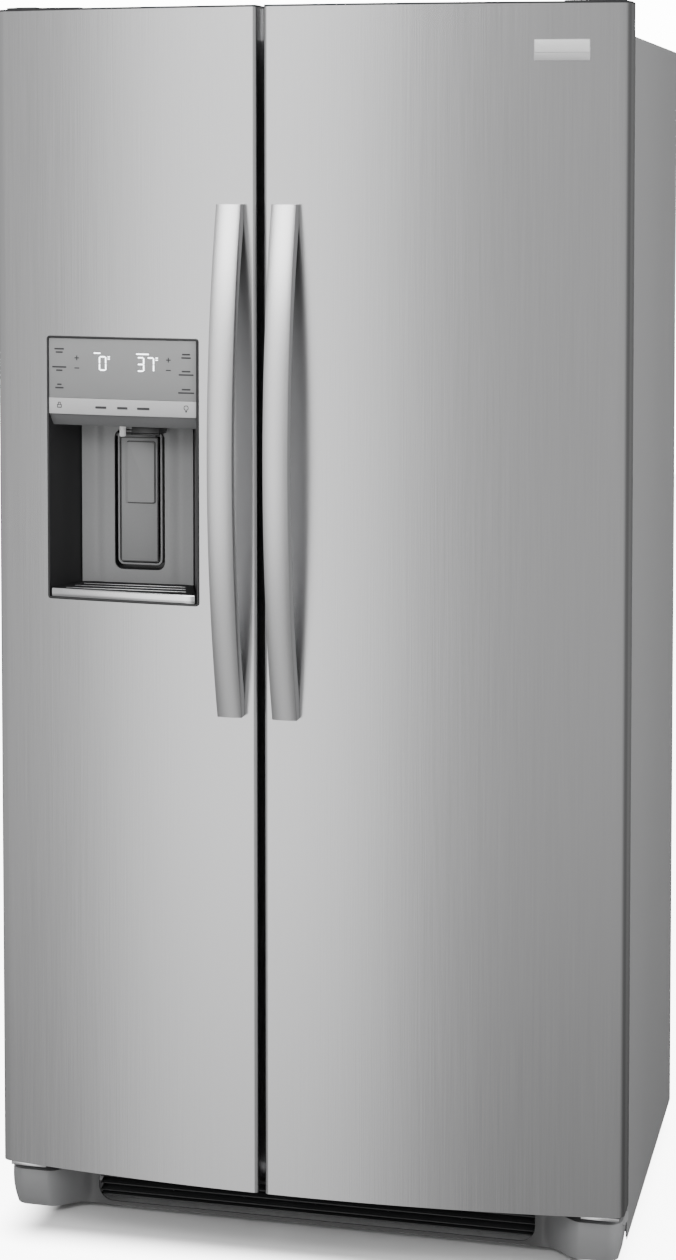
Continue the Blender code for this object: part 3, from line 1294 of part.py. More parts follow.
def chassis():
    """The sheet steel frame under the cabinet: one joined piece with its bosses and axles."""
    # each sheet ends inside the side rails, a little short of the one before it
    lap = RAIL_OUTER - FRAME_SHEET / 2
    spans = [shift((-lap, lap), -i * GAP) for i in range(4)]
    pan_back = BODY_DEPTH - 2 * REAR_SHEET - GAP
    inside_top = FRAME_TOP - FRAME_SHEET / 2
    frame = box(
        "base_frame", spans[0], depths(FRAME_FRONT + GAP, MACHINE_DEPTH - GAP),
        (FRAME_TOP - FRAME_SHEET, FRAME_TOP - GAP), ZINC,
    )
    pieces = [
        box(
            "front_flange", spans[1], depths(FRAME_FRONT, FRAME_FRONT + FRAME_SHEET),
            (LOWER_FLANGE_LOW, inside_top),
        ),
        box(
            "step", spans[2], depths(MACHINE_DEPTH - FRAME_SHEET, MACHINE_DEPTH),
            (PAN_LOW + GAP, inside_top),
        ),
        box(
            "rear_pan", spans[3], depths(MACHINE_DEPTH - FRAME_SHEET / 2, pan_back - GAP),
            (PAN_LOW, PAN_LOW + FRAME_SHEET),
        ),
    ]
    for side in (-1, 1):
        x = tuple(sorted((side * (RAIL_OUTER - FRAME_SHEET), side * RAIL_OUTER)))
        y = depths(FRAME_FRONT + 2 * GAP, pan_back)
        pieces.append(box("side_rail", x, y, (RAIL_BOTTOM, FRAME_TOP)))
        place = (side * FOOT_X, at(FOOT_DEPTH), (BOSS_LOW + inside_top) / 2)
        pieces.append(rod("foot_boss", place, "Z", BOSS_RADIUS, inside_top - BOSS_LOW))
        for face in (-1, 1):
            edge = side * FOOT_X + face * (ROLLER_WIDTH / 2 + 2 * SLIDING)
            x = tuple(sorted((edge, edge + face * BRACKET)))
            y = shift(depths(ROLLER_DEPTH, ROLLER_DEPTH), BRACKET_HALF)
            pieces.append(box("roller_bracket", x, y, (BRACKET_LOW, PAN_LOW + FRAME_SHEET / 2)))
        place = (side * FOOT_X, at(ROLLER_DEPTH), ROLLER_RADIUS)
        axle_length = ROLLER_WIDTH + 2 * BRACKET + 3 * SLIDING
        pieces.append(rod("axle", place, "X", AXLE_RADIUS, axle_length, sides=20))
    join(frame, *pieces)
    for side in (-1, 1):
        place = (side * FOOT_X, at(FOOT_DEPTH), BOSS_LOW)
        depth = 2 * (STEM_TOP + SLIDING - BOSS_LOW)
        carve(frame, rod("stem_bore", place, "Z", STEM_RADIUS + RUNNING, depth))
    motor_mount(frame)


def feet_and_rollers():
    for name, side in (("left", -1), ("right", 1)):
        place = (side * FOOT_X, at(FOOT_DEPTH), 0)
        foot = rod(
            name + "_levelling_foot", (place[0], place[1], FOOT_HEIGHT / 2), "Z", FOOT_RADIUS,
            FOOT_HEIGHT, DARK, end_radius=FOOT_RADIUS - FOOT_TAPER,
        )
        stem_low = FOOT_HEIGHT / 2
        stem = rod(
            "stem", (place[0], place[1], (stem_low + STEM_TOP) / 2), "Z", STEM_RADIUS,
            STEM_TOP - stem_low,
        )
        hang(pivot(name + "_foot_axis", place), join(foot, stem))

        place = (side * FOOT_X, at(ROLLER_DEPTH), ROLLER_RADIUS)
        roller = rod(name + "_rear_roller", place, "X", ROLLER_RADIUS, ROLLER_WIDTH, DARK, 32)
        bore = rod("roller_bore", place, "X", AXLE_RADIUS + RUNNING, 2 * ROLLER_WIDTH, sides=20)
        hang(pivot(name + "_roller_axis", place), carve(roller, bore))


# Machine space: compressor, condenser and its fan behind a slotted cover


def motor_mount(frame):
    """The fan motor and its post, fixed to the chassis pan, with the shaft the fan turns on."""
    y = at(MACHINE_MIDDLE)
    start = FAN_X + FAN_WIDTH / 2 + MOTOR_ROOM
    motor = rod("fan_motor", (start + MOTOR_LENGTH / 2, y, FAN_Z), "X", MOTOR_RADIUS, MOTOR_LENGTH)
    post_x = (start + POST_START, start + POST_START + POST_WIDTH)
    post = box("motor_post", post_x, shift((y, y), POST_HALF), (PAN_LOW + FRAME_SHEET / 2, FAN_Z))
    shaft = rod(
        "fan_shaft", (FAN_X + MOTOR_ROOM, y, FAN_Z), "X", SHAFT_RADIUS, FAN_WIDTH + 4 * MOTOR_ROOM,
        sides=16,
    )
    join(frame, motor, post, shaft)


def compressor():
    y = at(MACHINE_MIDDLE)
    can_low = PAN_TOP + COMPRESSOR_FOOT
    can = rod(
        "compressor", (COMPRESSOR_X, y, can_low + COMPRESSOR_HEIGHT / 2), "Z", COMPRESSOR_RADIUS,
        COMPRESSOR_HEIGHT, DARK, 32,
    )
    bevel(can, COMPRESSOR_ROUND, 3, 60)
    feet = box(
        "compressor_feet",
        shift((COMPRESSOR_X, COMPRESSOR_X), COMPRESSOR_RADIUS + COMPRESSOR_FOOT_SIDE),
        shift((y, y), COMPRESSOR_FOOT_HALF), (PAN_TOP, can_low + GAP),
    )
    neck = rod(
        "compressor_neck", (COMPRESSOR_X, y, can_low), "Z", COMPRESSOR_RADIUS - NECK_INSET,
        NECK_HEIGHT,
    )
    join(can, neck, feet)


def condenser():
    low_x = CONDENSER_LOW_X
    coil = box(
        "condenser", (low_x, low_x + CONDENSER_WIDTH),
        depths(MACHINE_DEPTH + CONDENSER_MARGIN, BODY_DEPTH - CONDENSER_MARGIN),
        (PAN_TOP, PAN_TOP + CONDENSER_HEIGHT), DARK,
    )
    pitch = (CONDENSER_WIDTH - FIN_GAP / 2) / FINS
    gap_z = (PAN_TOP + FIN_BASE, PAN_TOP + CONDENSER_HEIGHT - FIN_BASE / 2)
    for i in range(FINS):
        low = low_x + FIN_GAP / 2 + i * pitch
        y = depths(MACHINE_DEPTH, BODY_DEPTH)
        carve(coil, box("fin_gap", (low, low + FIN_GAP), y, gap_z))


def condenser_fan():
    place = (FAN_X, at(MACHINE_MIDDLE), FAN_Z)
    fan = rod("condenser_fan", place, "X", HUB_RADIUS, FAN_WIDTH, DARK)
    root = HUB_RADIUS * BLADE_ROOT
    for i in range(FAN_BLADES):
        blade = box(
            "fan_blade", shift((0, 0), FAN_WIDTH / 2 - BLADE_INSET), shift((0, 0), BLADE_THICK / 2),
            (root, FAN_RADIUS),
        )
        around = Matrix.Rotation(2 * math.pi * i / FAN_BLADES, 4, "X")
        outward = Matrix.Translation((0, 0, (root + FAN_RADIUS) / 2))
        pitched = Matrix.Rotation(math.radians(FAN_PITCH), 4, "Z")
        blade.matrix_world = Matrix.Translation(place) @ around @ outward @ pitched
        join(fan, blade)
    carve(fan, rod("fan_bore", place, "X", SHAFT_RADIUS + RUNNING, 3 * FAN_WIDTH, sides=16))
    hang(pivot("fan_axis", place), fan)


def machine_cover():
    cover = box(
        "machine_cover", (-FOAM_HALF, FOAM_HALF), depths(BODY_DEPTH - REAR_SHEET, BODY_DEPTH),
        (MACHINE_COVER_LOW, MACHINE_TOP), ZINC,
    )
    slot_end = MACHINE_HALF - COVER_SLOT_INSET
    for row in range(COVER_SLOTS):
        z = MACHINE_COVER_LOW + COVER_SLOT_RISE + row * COVER_SLOT_PITCH
        for side in (-1, 1):
            x = tuple(sorted((side * COVER_SLOT_MIDDLE, side * slot_end)))
            y = shift(depths(BODY_DEPTH, BODY_DEPTH), PAST)
            carve(cover, box("cover_slot", x, y, (z, z + COVER_SLOT)))


cabinet()
fittings()
drawers()
freezer_hinge, freezer_skin, freezer_core, freezer_door_liner = door(
    "freezer", FREEZER_EDGE, -1, FREEZER_BINS, FREEZER_BIN_DEPTH, FREEZER_SPACE, FREEZER_HANDLE_X
)
fresh_hinge = door(
    "fresh_food", FRESH_EDGE, 1, FRESH_BINS, FRESH_BIN_DEPTH, FRESH_SPACE, FRESH_HANDLE_X
)[0]
hang(fresh_hinge, badge())
dispenser(freezer_hinge, freezer_skin, freezer_core, freezer_door_liner)
hinges("freezer", -1)
hinges("fresh_food", 1)
kick_plate()
chassis()
feet_and_rollers()
compressor()
condenser()
condenser_fan()
machine_cover()
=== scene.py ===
import math

import bmesh
import bpy
from mathutils import Matrix, Vector


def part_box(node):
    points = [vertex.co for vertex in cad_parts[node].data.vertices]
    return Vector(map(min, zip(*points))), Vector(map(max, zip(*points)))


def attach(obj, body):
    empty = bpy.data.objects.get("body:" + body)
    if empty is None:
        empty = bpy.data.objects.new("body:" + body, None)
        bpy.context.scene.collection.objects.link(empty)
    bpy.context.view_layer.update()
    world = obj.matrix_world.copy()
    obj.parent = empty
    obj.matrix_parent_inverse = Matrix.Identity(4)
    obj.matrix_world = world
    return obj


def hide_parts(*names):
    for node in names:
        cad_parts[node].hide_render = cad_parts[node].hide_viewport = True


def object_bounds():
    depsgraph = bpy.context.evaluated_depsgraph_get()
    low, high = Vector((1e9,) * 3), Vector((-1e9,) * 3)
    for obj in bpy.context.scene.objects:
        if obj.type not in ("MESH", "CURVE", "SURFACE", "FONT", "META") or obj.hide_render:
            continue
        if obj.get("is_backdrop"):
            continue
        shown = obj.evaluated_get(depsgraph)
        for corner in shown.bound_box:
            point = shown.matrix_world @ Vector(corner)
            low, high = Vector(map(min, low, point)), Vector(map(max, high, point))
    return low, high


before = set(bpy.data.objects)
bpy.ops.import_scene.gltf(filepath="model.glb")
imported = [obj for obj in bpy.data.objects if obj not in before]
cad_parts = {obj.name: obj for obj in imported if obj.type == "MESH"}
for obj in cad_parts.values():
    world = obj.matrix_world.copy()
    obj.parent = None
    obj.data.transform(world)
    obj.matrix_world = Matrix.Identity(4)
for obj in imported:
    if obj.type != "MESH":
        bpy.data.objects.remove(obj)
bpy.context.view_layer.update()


# Base chassis
# Galvanised steel sheet, folded into rails and a rear pan, with the fan's motor, the bosses of
# the feet and the rollers' axles fixed to it. The plating leaves a faint cloudy spangle.
def add_node(tree, kind, settings=None, inputs=None):
    """One shader node. An input is a plain value, or the socket that feeds it."""
    made = tree.nodes.new(kind)
    for key, value in (settings or {}).items():
        setattr(made, key, value)
    for key, value in (inputs or {}).items():
        if isinstance(value, bpy.types.NodeSocket):
            tree.links.new(value, made.inputs[key])
        else:
            made.inputs[key].default_value = value
    return made


def coat(
    name, colour, roughness, fixed=None, grain=(1.0, 1.0, 1.0), size=40.0, tint=0.04,
    rough_spread=0.05, height=0.0, detail=4.0,
):
    """A finish whose colour, roughness and relief follow one noise pattern, stretched by grain.
    fixed holds the shader's values that are the same all over."""
    material = bpy.data.materials.new(name)
    material.use_nodes = True
    tree = material.node_tree
    shader = tree.nodes["Principled BSDF"]
    place = add_node(tree, "ShaderNodeTexCoord").outputs["Object"]
    turned = add_node(tree, "ShaderNodeMapping", inputs={"Vector": place, "Scale": grain})
    noise = add_node(
        tree, "ShaderNodeTexNoise", inputs={
            "Vector": turned.outputs["Vector"], "Scale": size, "Detail": detail, "Roughness": 0.55,
        },
    )
    pattern = noise.outputs["Fac"]
    dark, light = (tuple(min(1.0, c * (1.0 + s * tint)) for c in colour) + (1.0,) for s in (-2, 2))
    mixed = add_node(
        tree, "ShaderNodeMix", {"data_type": "RGBA"}, {"Factor": pattern, 6: dark, 7: light}
    )
    spread = add_node(
        tree, "ShaderNodeMapRange", inputs={
            "Value": pattern, "To Min": roughness - rough_spread,
            "To Max": roughness + rough_spread,
        },
    )
    tree.links.new(mixed.outputs[2], shader.inputs["Base Color"])
    tree.links.new(spread.outputs["Result"], shader.inputs["Roughness"])
    if height:
        relief = add_node(
            tree, "ShaderNodeBump", inputs={"Height": pattern, "Strength": 1.0, "Distance": height}
        )
        tree.links.new(relief.outputs["Normal"], shader.inputs["Normal"])
    for key, value in (fixed or {}).items():
        shader.inputs[key].default_value = value
    return material


WELD = 2e-5  # vertices nearer than this are one
NEAR = 1e-4  # and a vertex this near a level is on it


def soften(bm, width, segments=2, angle=30.0, edges=None):
    """Rounds the given edges, or every edge sharper than angle."""
    limit = math.radians(angle)
    if edges is None:
        edges = [e for e in bm.edges if e.is_manifold and e.calc_face_angle(0.0) > limit]
    bmesh.ops.bevel(
        bm, geom=edges, offset=width, affect="EDGES", segments=segments, profile=0.5, material=-1,
        clamp_overlap=True,
    )


def from_cad(node, width, segments=2):
    """A merged copy of a CAD node's mesh with its sharp edges rounded."""
    bm = bmesh.new()
    bm.from_mesh(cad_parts[node].data)
    bmesh.ops.remove_doubles(bm, verts=bm.verts, dist=WELD)
    bmesh.ops.dissolve_limit(bm, angle_limit=math.radians(1.0), verts=bm.verts, edges=bm.edges)
    soften(bm, width, segments)
    return bm


def put(name, bm, material, body, slot, *stands_for, crease=40.0):
    """Makes a bmesh a finished piece that rides on a body and stands for the CAD nodes named."""
    mesh = bpy.data.meshes.new(name)
    bm.to_mesh(mesh)
    bm.free()
    mesh.materials.append(material)
    mesh.shade_smooth()
    mesh.set_sharp_from_angle(angle=math.radians(crease))
    piece = bpy.data.objects.new(name, mesh)
    bpy.context.scene.collection.objects.link(piece)
    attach(piece, body)
    if stands_for:
        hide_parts(*stands_for)


# The plated grey is set darker than the metal is, as painted shade: the chassis shows through the
# gap between the doors, where it lies in shade.
zinc = coat(
    "zinc_plate", (0.42, 0.42, 0.43), 0.36, {"Metallic": 1.0}, size=70.0, tint=0.06,
    rough_spread=0.10, height=0.00003,
)
put("chassis", from_cad("base_frame", 0.0005), zinc, "cabinet", "zinc", "base_frame")


# Levelling feet
# Moulded black feet on threaded stems, one behind each front corner. The foot is turned by
# hand, so its rim has grip notches all round.
FOOT_NOTCHES = 18
NOTCH_DEPTH = 0.0012
THREADS = 10
THREAD_PITCH = 0.0025
black = coat(
    "black_moulding", (0.022, 0.022, 0.024), 0.46, {"Specular IOR Level": 0.45}, size=600.0,
    tint=0.10, rough_spread=0.08, height=0.00006, detail=2.0,
)


def box_piece(low, high, width=0.0, segments=2):
    """A block between two corners, with its edges rounded."""
    bm = bmesh.new()
    bmesh.ops.create_cube(bm, size=1.0)
    low, high = Vector(low), Vector(high)
    bmesh.ops.scale(bm, vec=high - low, verts=bm.verts)
    bmesh.ops.translate(bm, vec=(low + high) / 2, verts=bm.verts)
    if width:
        soften(bm, width, segments)
    return bm


def merge(*made):
    """Several bmeshes as one."""
    whole = bmesh.new()
    for bm in made:
        part = bpy.data.meshes.new("part")
        bm.to_mesh(part)
        bm.free()
        whole.from_mesh(part)
        bpy.data.meshes.remove(part)
    return whole


TURNS = {"X": Matrix.Rotation(math.pi / 2, 4, "Y"), "Y": Matrix.Rotation(-math.pi / 2, 4, "X")}


def turned_piece(profile, place, axis="Z", steps=36, width=0.0):
    """A lathe-turned piece. profile gives (radius, height) pairs from one end to the other."""
    bm = bmesh.new()
    points = [bm.verts.new((max(r, 1e-5), 0.0, h)) for r, h in profile]
    line = [bm.edges.new(pair) for pair in zip(points, points[1:])]
    bmesh.ops.spin(
        bm, geom=points + line, cent=(0, 0, 0), axis=(0, 0, 1), angle=math.tau, steps=steps,
        use_merge=True,
    )
    bmesh.ops.remove_doubles(bm, verts=bm.verts, dist=2.5e-5)
    bmesh.ops.recalc_face_normals(bm, faces=bm.faces)
    if width:
        soften(bm, width, 2, 35.0)
    bmesh.ops.transform(
        bm, matrix=Matrix.Translation(place) @ TURNS.get(axis, Matrix()), verts=bm.verts
    )
    return bm


for side in ("left", "right"):
    low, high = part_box(side + "_levelling_foot")
    middle = (low + high) / 2
    radius = (high.x - low.x) / 2
    foot = turned_piece(
        ((0.0, 0.0), (radius - 0.001, 0.0), (radius, 0.001), (radius, 0.0045), (0.011, 0.0098),
         (0.006, 0.010), (0.006, high.z - 0.0005), (0.0055, high.z), (0.0, high.z)),
        (middle.x, middle.y, 0.0), steps=FOOT_NOTCHES * 3,
    )
    rim = [v for v in foot.verts if 0.0005 < v.co.z < 0.005]
    for v in rim:
        out = Vector((v.co.x - middle.x, v.co.y - middle.y, 0.0))
        turn = round(math.atan2(out.y, out.x) / math.tau * FOOT_NOTCHES * 3) % 3
        if turn == 0:
            v.co -= out.normalized() * NOTCH_DEPTH
    threads = [
        turned_piece(
            ((0.0058, z), (0.0066, z + 0.0008), (0.0058, z + 0.0016)), (middle.x, middle.y, 0.0)
        )
        for z in (0.012 + THREAD_PITCH * i for i in range(THREADS))
    ]
    put(
        side + "_foot_moulding", merge(foot, *threads), black, side + "_foot", "black_plastic",
        side + "_levelling_foot",
    )


# Rear rollers
# Hard black moulded wheels at both rear corners, hollowed between hub and tyre. They turn on
# plain steel axles that belong to the chassis.
for side in ("left", "right"):
    low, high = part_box(side + "_rear_roller")
    middle = (low + high) / 2
    radius = (high.z - low.z) / 2
    half = (high.x - low.x) / 2
    wheel = turned_piece(
        ((0.004, -half), (0.007, -half), (0.008, -half + 0.003), (radius - 0.005, -half + 0.003),
         (radius - 0.004, -half), (radius - 0.001, -half), (radius, -half + 0.001),
         (radius, half - 0.001), (radius - 0.001, half), (radius - 0.004, half),
         (radius - 0.005, half - 0.003), (0.008, half - 0.003), (0.007, half), (0.004, half)),
        middle, "X", 48,
    )
    put(
        side + "_roller_wheel", wheel, black, side + "_roller", "black_plastic",
        side + "_rear_roller",
    )


# Compressor
# A black painted steel can drawn in two halves and welded round its middle. It stands on a foot
# plate in the chassis pan.
SEAM_RADIUS = 0.0685
SEAM_RISE = 0.085
low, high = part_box("compressor")
middle = (low + high) / 2
seam = turned_piece(
    ((SEAM_RADIUS - 0.003, -0.004), (SEAM_RADIUS, -0.003), (SEAM_RADIUS, 0.003),
     (SEAM_RADIUS - 0.003, 0.004)), (middle.x, middle.y, low.z + SEAM_RISE), steps=64,
)
put(
    "compressor_can", merge(from_cad("compressor", 0.0015), seam), black, "cabinet",
    "black_plastic", "compressor",
)


# Condenser and its fan
# A black coil block with deep gaps between its fins, beside a five-blade moulded fan that turns
# on its motor's shaft and draws air across it.
put(
    "condenser_block", from_cad("condenser", 0.0004), black, "cabinet", "black_plastic",
    "condenser",
)
put(
    "fan_wheel", from_cad("condenser_fan", 0.0004), black, "condenser_fan", "black_plastic",
    "condenser_fan",
)


# Machine space cover
# A thin plated sheet over the machine space, with two groups of pressed air slots, held by
# small pan-head screws.
SCREW_RADIUS = 0.0036


def screw_head(place):
    """A pan head with a socket, standing on a surface that looks to the back."""
    r = SCREW_RADIUS
    rise = r * 0.45
    return turned_piece(
        ((0.0, 0.0), (r, 0.0), (r, rise * 0.4), (r * 0.8, rise), (r * 0.35, rise),
         (r * 0.3, rise * 0.4), (0.0, rise * 0.4)), place, "Y", 20,
    )


low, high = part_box("machine_cover")
heads = [
    screw_head((x, high.y, z))
    for x in (low.x + 0.012, low.x / 2, high.x / 2, high.x - 0.012)
    for z in (low.z + 0.008, high.z - 0.008)
]
put(
    "machine_space_cover", merge(from_cad("machine_cover", 0.0003), *heads), zinc, "cabinet",
    "zinc", "machine_cover",
)


# Cabinet shell
# One folded steel sheet, the top and both sides, with the flanges that frame the two mouths.
# It is painted with a fine pebbled grey enamel, and its folds are softly rounded.
enamel = coat(
    "grey_enamel", (0.235, 0.235, 0.238), 0.42, {"Specular IOR Level": 0.45, "Coat Weight": 0.08},
    size=520.0, tint=0.03, rough_spread=0.06, height=0.00010, detail=2.0,
)
put(
    "cabinet_wrapper", from_cad("cabinet_shell", 0.0008), enamel, "cabinet", "cabinet_paint",
    "cabinet_shell",
)


# Rear panel
# A flat sheet let in behind the foam, painted like the cabinet, with shallow pressed ribs that
# stiffen it and a row of screws along each side.
RIBS = 4
RIB_WIDTH = 0.020
RIB_PROUD = 0.0006
RIB_INSET = 0.08
REAR_SCREWS = 8
SCREW_INSET = 0.010
SCREW_END = 0.03
low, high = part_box("rear_panel")
ribs = []
for i in range(RIBS):
    z = low.z + (high.z - low.z) * (i + 0.5) / RIBS
    ribs.append(
        box_piece(
            (low.x + RIB_INSET, high.y - 0.0003, z - RIB_WIDTH / 2),
            (high.x - RIB_INSET, high.y + RIB_PROUD, z + RIB_WIDTH / 2), 0.0004,
        )
    )
put(
    "rear_sheet", merge(from_cad("rear_panel", 0.0003), *ribs), enamel, "cabinet", "cabinet_paint",
    "rear_panel",
)
heads = []
for i in range(REAR_SCREWS):
    z = low.z + SCREW_END + (high.z - low.z - 2 * SCREW_END) * i / (REAR_SCREWS - 1)
    for x in (low.x + SCREW_INSET, high.x - SCREW_INSET):
        heads.append(screw_head((x, high.y, z)))
put("rear_screws", merge(*heads), zinc, "cabinet", "zinc")


# Foam
# Polyurethane foam blown between the shell and the liners, pale yellow with fine closed
# cells. The CAD's own meshes stay, and only take this finish.
foam = coat(
    "blown_foam", (0.78, 0.70, 0.48), 0.85, size=260.0, tint=0.06, rough_spread=0.05,
    height=0.0004,
)

for node in ("cabinet_foam", "freezer_door_foam", "fresh_food_door_foam"):
    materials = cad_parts[node].data.materials
    materials.clear()
    materials.append(foam)


# Kick plate
# One grey moulding across the front of the base. It swells forward round each front leg, its
# top is rolled back, and its middle drops to a low rail with rounded corners. Its grey is painted
# darker towards the middle, as shade on the recessed rail and on the sweeps beside the legs.
DOOR_SIDE = 0.055
DOOR_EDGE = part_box("freezer_door_skin")[1].y - DOOR_SIDE
low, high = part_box("kick_plate")
TOE_LOW, TOE_TOP = low.z + 0.003, high.z - 0.004
TOE_HALF, TOE_BACK = high.x, high.y
TOE_WALL = 0.0022
TOE_MIDDLE_DEPTH = 0.050
TOE_LEG_DEPTH = 0.015
SWELL_FROM, SWELL_TO = 0.343, 0.394
LEG_ROUND = 0.020
GRILLE_HALF = 0.325
RAIL_TOP = 0.015
RAIL_PAINTED_SHADE = (0.035, 0.035, 0.036, 1.0)
RAIL_BLEND = 0.03
WINDOW_ROUND = 0.022
LEG_TUCK = 0.006
LEG_CROWN = 0.003
TUCK_BLEND = 0.10
ROLL = 0.0055
grey = coat(
    "grey_moulding", (0.265, 0.267, 0.271), 0.30, {"Specular IOR Level": 0.6}, size=900.0,
    tint=0.02, rough_spread=0.04, height=0.00001, detail=1.0,
)


def paint_shade_towards_middle(material, dark, near, far):
    """Paints shade into a coat: fades it to a darker colour where x is nearer the middle than far.
    """
    tree = material.node_tree
    colour = tree.nodes["Principled BSDF"].inputs["Base Color"]
    outer = colour.links[0].from_socket
    place = add_node(tree, "ShaderNodeTexCoord").outputs["Object"]
    across = add_node(tree, "ShaderNodeSeparateXYZ", inputs={"Vector": place}).outputs["X"]
    out = add_node(tree, "ShaderNodeMath", {"operation": "ABSOLUTE"}, {0: across})
    share = add_node(
        tree, "ShaderNodeMapRange", {"interpolation_type": "SMOOTHSTEP"},
        {"Value": out.outputs["Value"], "From Min": near, "From Max": far},
    )
    mixed = add_node(
        tree, "ShaderNodeMix", {"data_type": "RGBA"},
        {"Factor": share.outputs["Result"], 6: dark, 7: outer},
    )
    tree.links.new(mixed.outputs[2], colour)


# Painted shade: the moulding's grey fades to near black between the legs, where the recessed rail
# lies in shade.
paint_shade_towards_middle(grey, RAIL_PAINTED_SHADE, SWELL_FROM - RAIL_BLEND, SWELL_TO)


def ease(share):
    """Holds a share between 0 and 1, and eases it in and out."""
    share = min(1.0, max(0.0, share))
    return share * share * (3.0 - 2.0 * share)


def sheet(points, low, high, rows=1):
    """A sheet that stands upright on a line of points in plan."""
    bm = bmesh.new()
    bmesh.ops.create_grid(bm, x_segments=len(points) - 1, y_segments=rows, size=0.5)
    for v in bm.verts:
        x, y = points[round((v.co.x + 0.5) * (len(points) - 1))]
        v.co = (x, y, low + (v.co.y + 0.5) * (high - low))
    return bm


def toe_depth(x):
    """How far the kick plate's face is behind the doors' front edge plane."""
    share = ease((abs(x) - SWELL_FROM) / (SWELL_TO - SWELL_FROM))
    depth = TOE_MIDDLE_DEPTH + (TOE_LEG_DEPTH - TOE_MIDDLE_DEPTH) * share
    out = abs(x) - (TOE_HALF - LEG_ROUND)
    if out > 0.0:
        depth += LEG_ROUND - math.sqrt(max(0.0, LEG_ROUND ** 2 - out ** 2))
    return depth


def toe_top(x):
    """How high the kick plate's face reaches: a low rail between the window's round corners."""
    x = abs(x)
    if x > GRILLE_HALF:
        return TOE_TOP
    rise = x - (GRILLE_HALF - WINDOW_ROUND)
    if rise <= 0.0:
        return RAIL_TOP
    return RAIL_TOP + WINDOW_ROUND - math.sqrt(WINDOW_ROUND ** 2 - rise ** 2)


half_line = [0.0, 0.10, 0.20, 0.28]
half_line += [GRILLE_HALF - WINDOW_ROUND * (1.0 - math.sin(i * math.pi / 16)) for i in range(9)]
half_line += [GRILLE_HALF + 0.0001, 0.334]
half_line += [SWELL_FROM + (SWELL_TO - SWELL_FROM) * i / 14 for i in range(15)]
half_line += [0.410, 0.425]
half_line += [TOE_HALF - LEG_ROUND * (1.0 - math.sin(i * math.pi / 16)) for i in range(9)]
across = [-x for x in reversed(half_line[1:])] + half_line
line = [(-TOE_HALF, TOE_BACK)] + [(x, DOOR_EDGE + toe_depth(x)) for x in across]
line += [(TOE_HALF, TOE_BACK)]
toe = sheet(line, 0.0, 1.0, 10)
for v in toe.verts:
    up = v.co.z
    v.co.z = TOE_LOW + (toe_top(v.co.x) - TOE_LOW) * up
    if abs(v.co.x) > SWELL_FROM:
        tuck = LEG_TUCK * (1.0 - up) ** 2
        v.co.x -= math.copysign(tuck, v.co.x) * min(1.0, (abs(v.co.x) - SWELL_FROM) / TUCK_BLEND)
        if v.co.y < TOE_BACK - NEAR:
            proud = DOOR_EDGE + TOE_MIDDLE_DEPTH - v.co.y
            v.co.y += tuck * proud / (TOE_MIDDLE_DEPTH - TOE_LEG_DEPTH)
            v.co.y -= LEG_CROWN * math.sin(math.pi * up)
top_edges = [
    e for e in toe.edges if e.is_boundary
    and all(v.co.z > TOE_TOP - NEAR and abs(v.co.x) > GRILLE_HALF for v in e.verts)
]
rolled = bmesh.ops.extrude_edge_only(toe, edges=top_edges)["geom"]
for v in rolled:
    if isinstance(v, bmesh.types.BMVert):
        v.co.y = TOE_BACK
        v.co.z -= 0.0005
bmesh.ops.remove_doubles(toe, verts=toe.verts, dist=5e-5)
crease = [
    e for e in toe.edges if e.is_manifold and all(v.co.z > TOE_TOP - NEAR for v in e.verts)
    and e.calc_face_angle(0.0) > 1.0
]
soften(toe, ROLL, 5, edges=crease)


def thicken(bm, thickness):
    """Gives a sheet its thickness, behind the side that faces the front."""
    bmesh.ops.recalc_face_normals(bm, faces=bm.faces)
    foremost = min(bm.faces, key=lambda f: f.calc_center_median().y)
    if foremost.normal.y > 0:
        bmesh.ops.reverse_faces(bm, faces=bm.faces)
    bmesh.ops.solidify(bm, geom=bm.faces[:], thickness=thickness)


thicken(toe, TOE_WALL)
top_bar = box_piece(
    (-GRILLE_HALF - 0.002, DOOR_EDGE + TOE_MIDDLE_DEPTH + 0.0004, TOE_TOP - 0.0025),
    (GRILLE_HALF + 0.002, TOE_BACK, TOE_TOP), 0.0006,
)
put("toe_cover", merge(toe, top_bar), grey, "cabinet", "grey_plastic", "kick_plate", crease=50)


# Grille
# A separate black moulding clipped in behind the kick plate: slanted air louvres between end
# walls and upright ribs, with a fine dust screen behind them.
LOUVRES = 4
LOUVRE_PITCH = 0.0105
LOUVRE_HALF = 0.0075
LOUVRE_TILT = Matrix.Rotation(math.radians(14.0), 4, "X")
UPRIGHTS = 7
low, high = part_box("base_grille")
louvres = [
    box_piece((low.x, high.y - 0.0012, low.z), (high.x, high.y, high.z), 0.0004),
    box_piece((low.x, low.y + 0.001, low.z), (high.x, high.y, low.z + 0.002), 0.0006),
]
for i in range(LOUVRES):
    z = low.z + 0.009 + LOUVRE_PITCH * i
    blade = box_piece((low.x, -LOUVRE_HALF, -0.0009), (high.x, LOUVRE_HALF, 0.0009), 0.0006)
    tilt = Matrix.Translation((0.0, low.y + 0.008, z)) @ LOUVRE_TILT
    bmesh.ops.transform(blade, matrix=tilt, verts=blade.verts)
    louvres.append(blade)
for i in range(UPRIGHTS):
    x = low.x + 0.001 + (high.x - low.x - 0.002) * i / (UPRIGHTS - 1)
    louvres.append(
        box_piece((x - 0.0008, low.y + 0.012, low.z), (x + 0.0008, high.y, high.z), 0.0003)
    )
louvre_black = coat(
    "louvre_black", (0.045, 0.046, 0.048), 0.40, size=500.0, tint=0.04, rough_spread=0.06,
    height=0.00004,
)
put("toe_grille", merge(*louvres), louvre_black, "cabinet", "black_plastic", "base_grille")


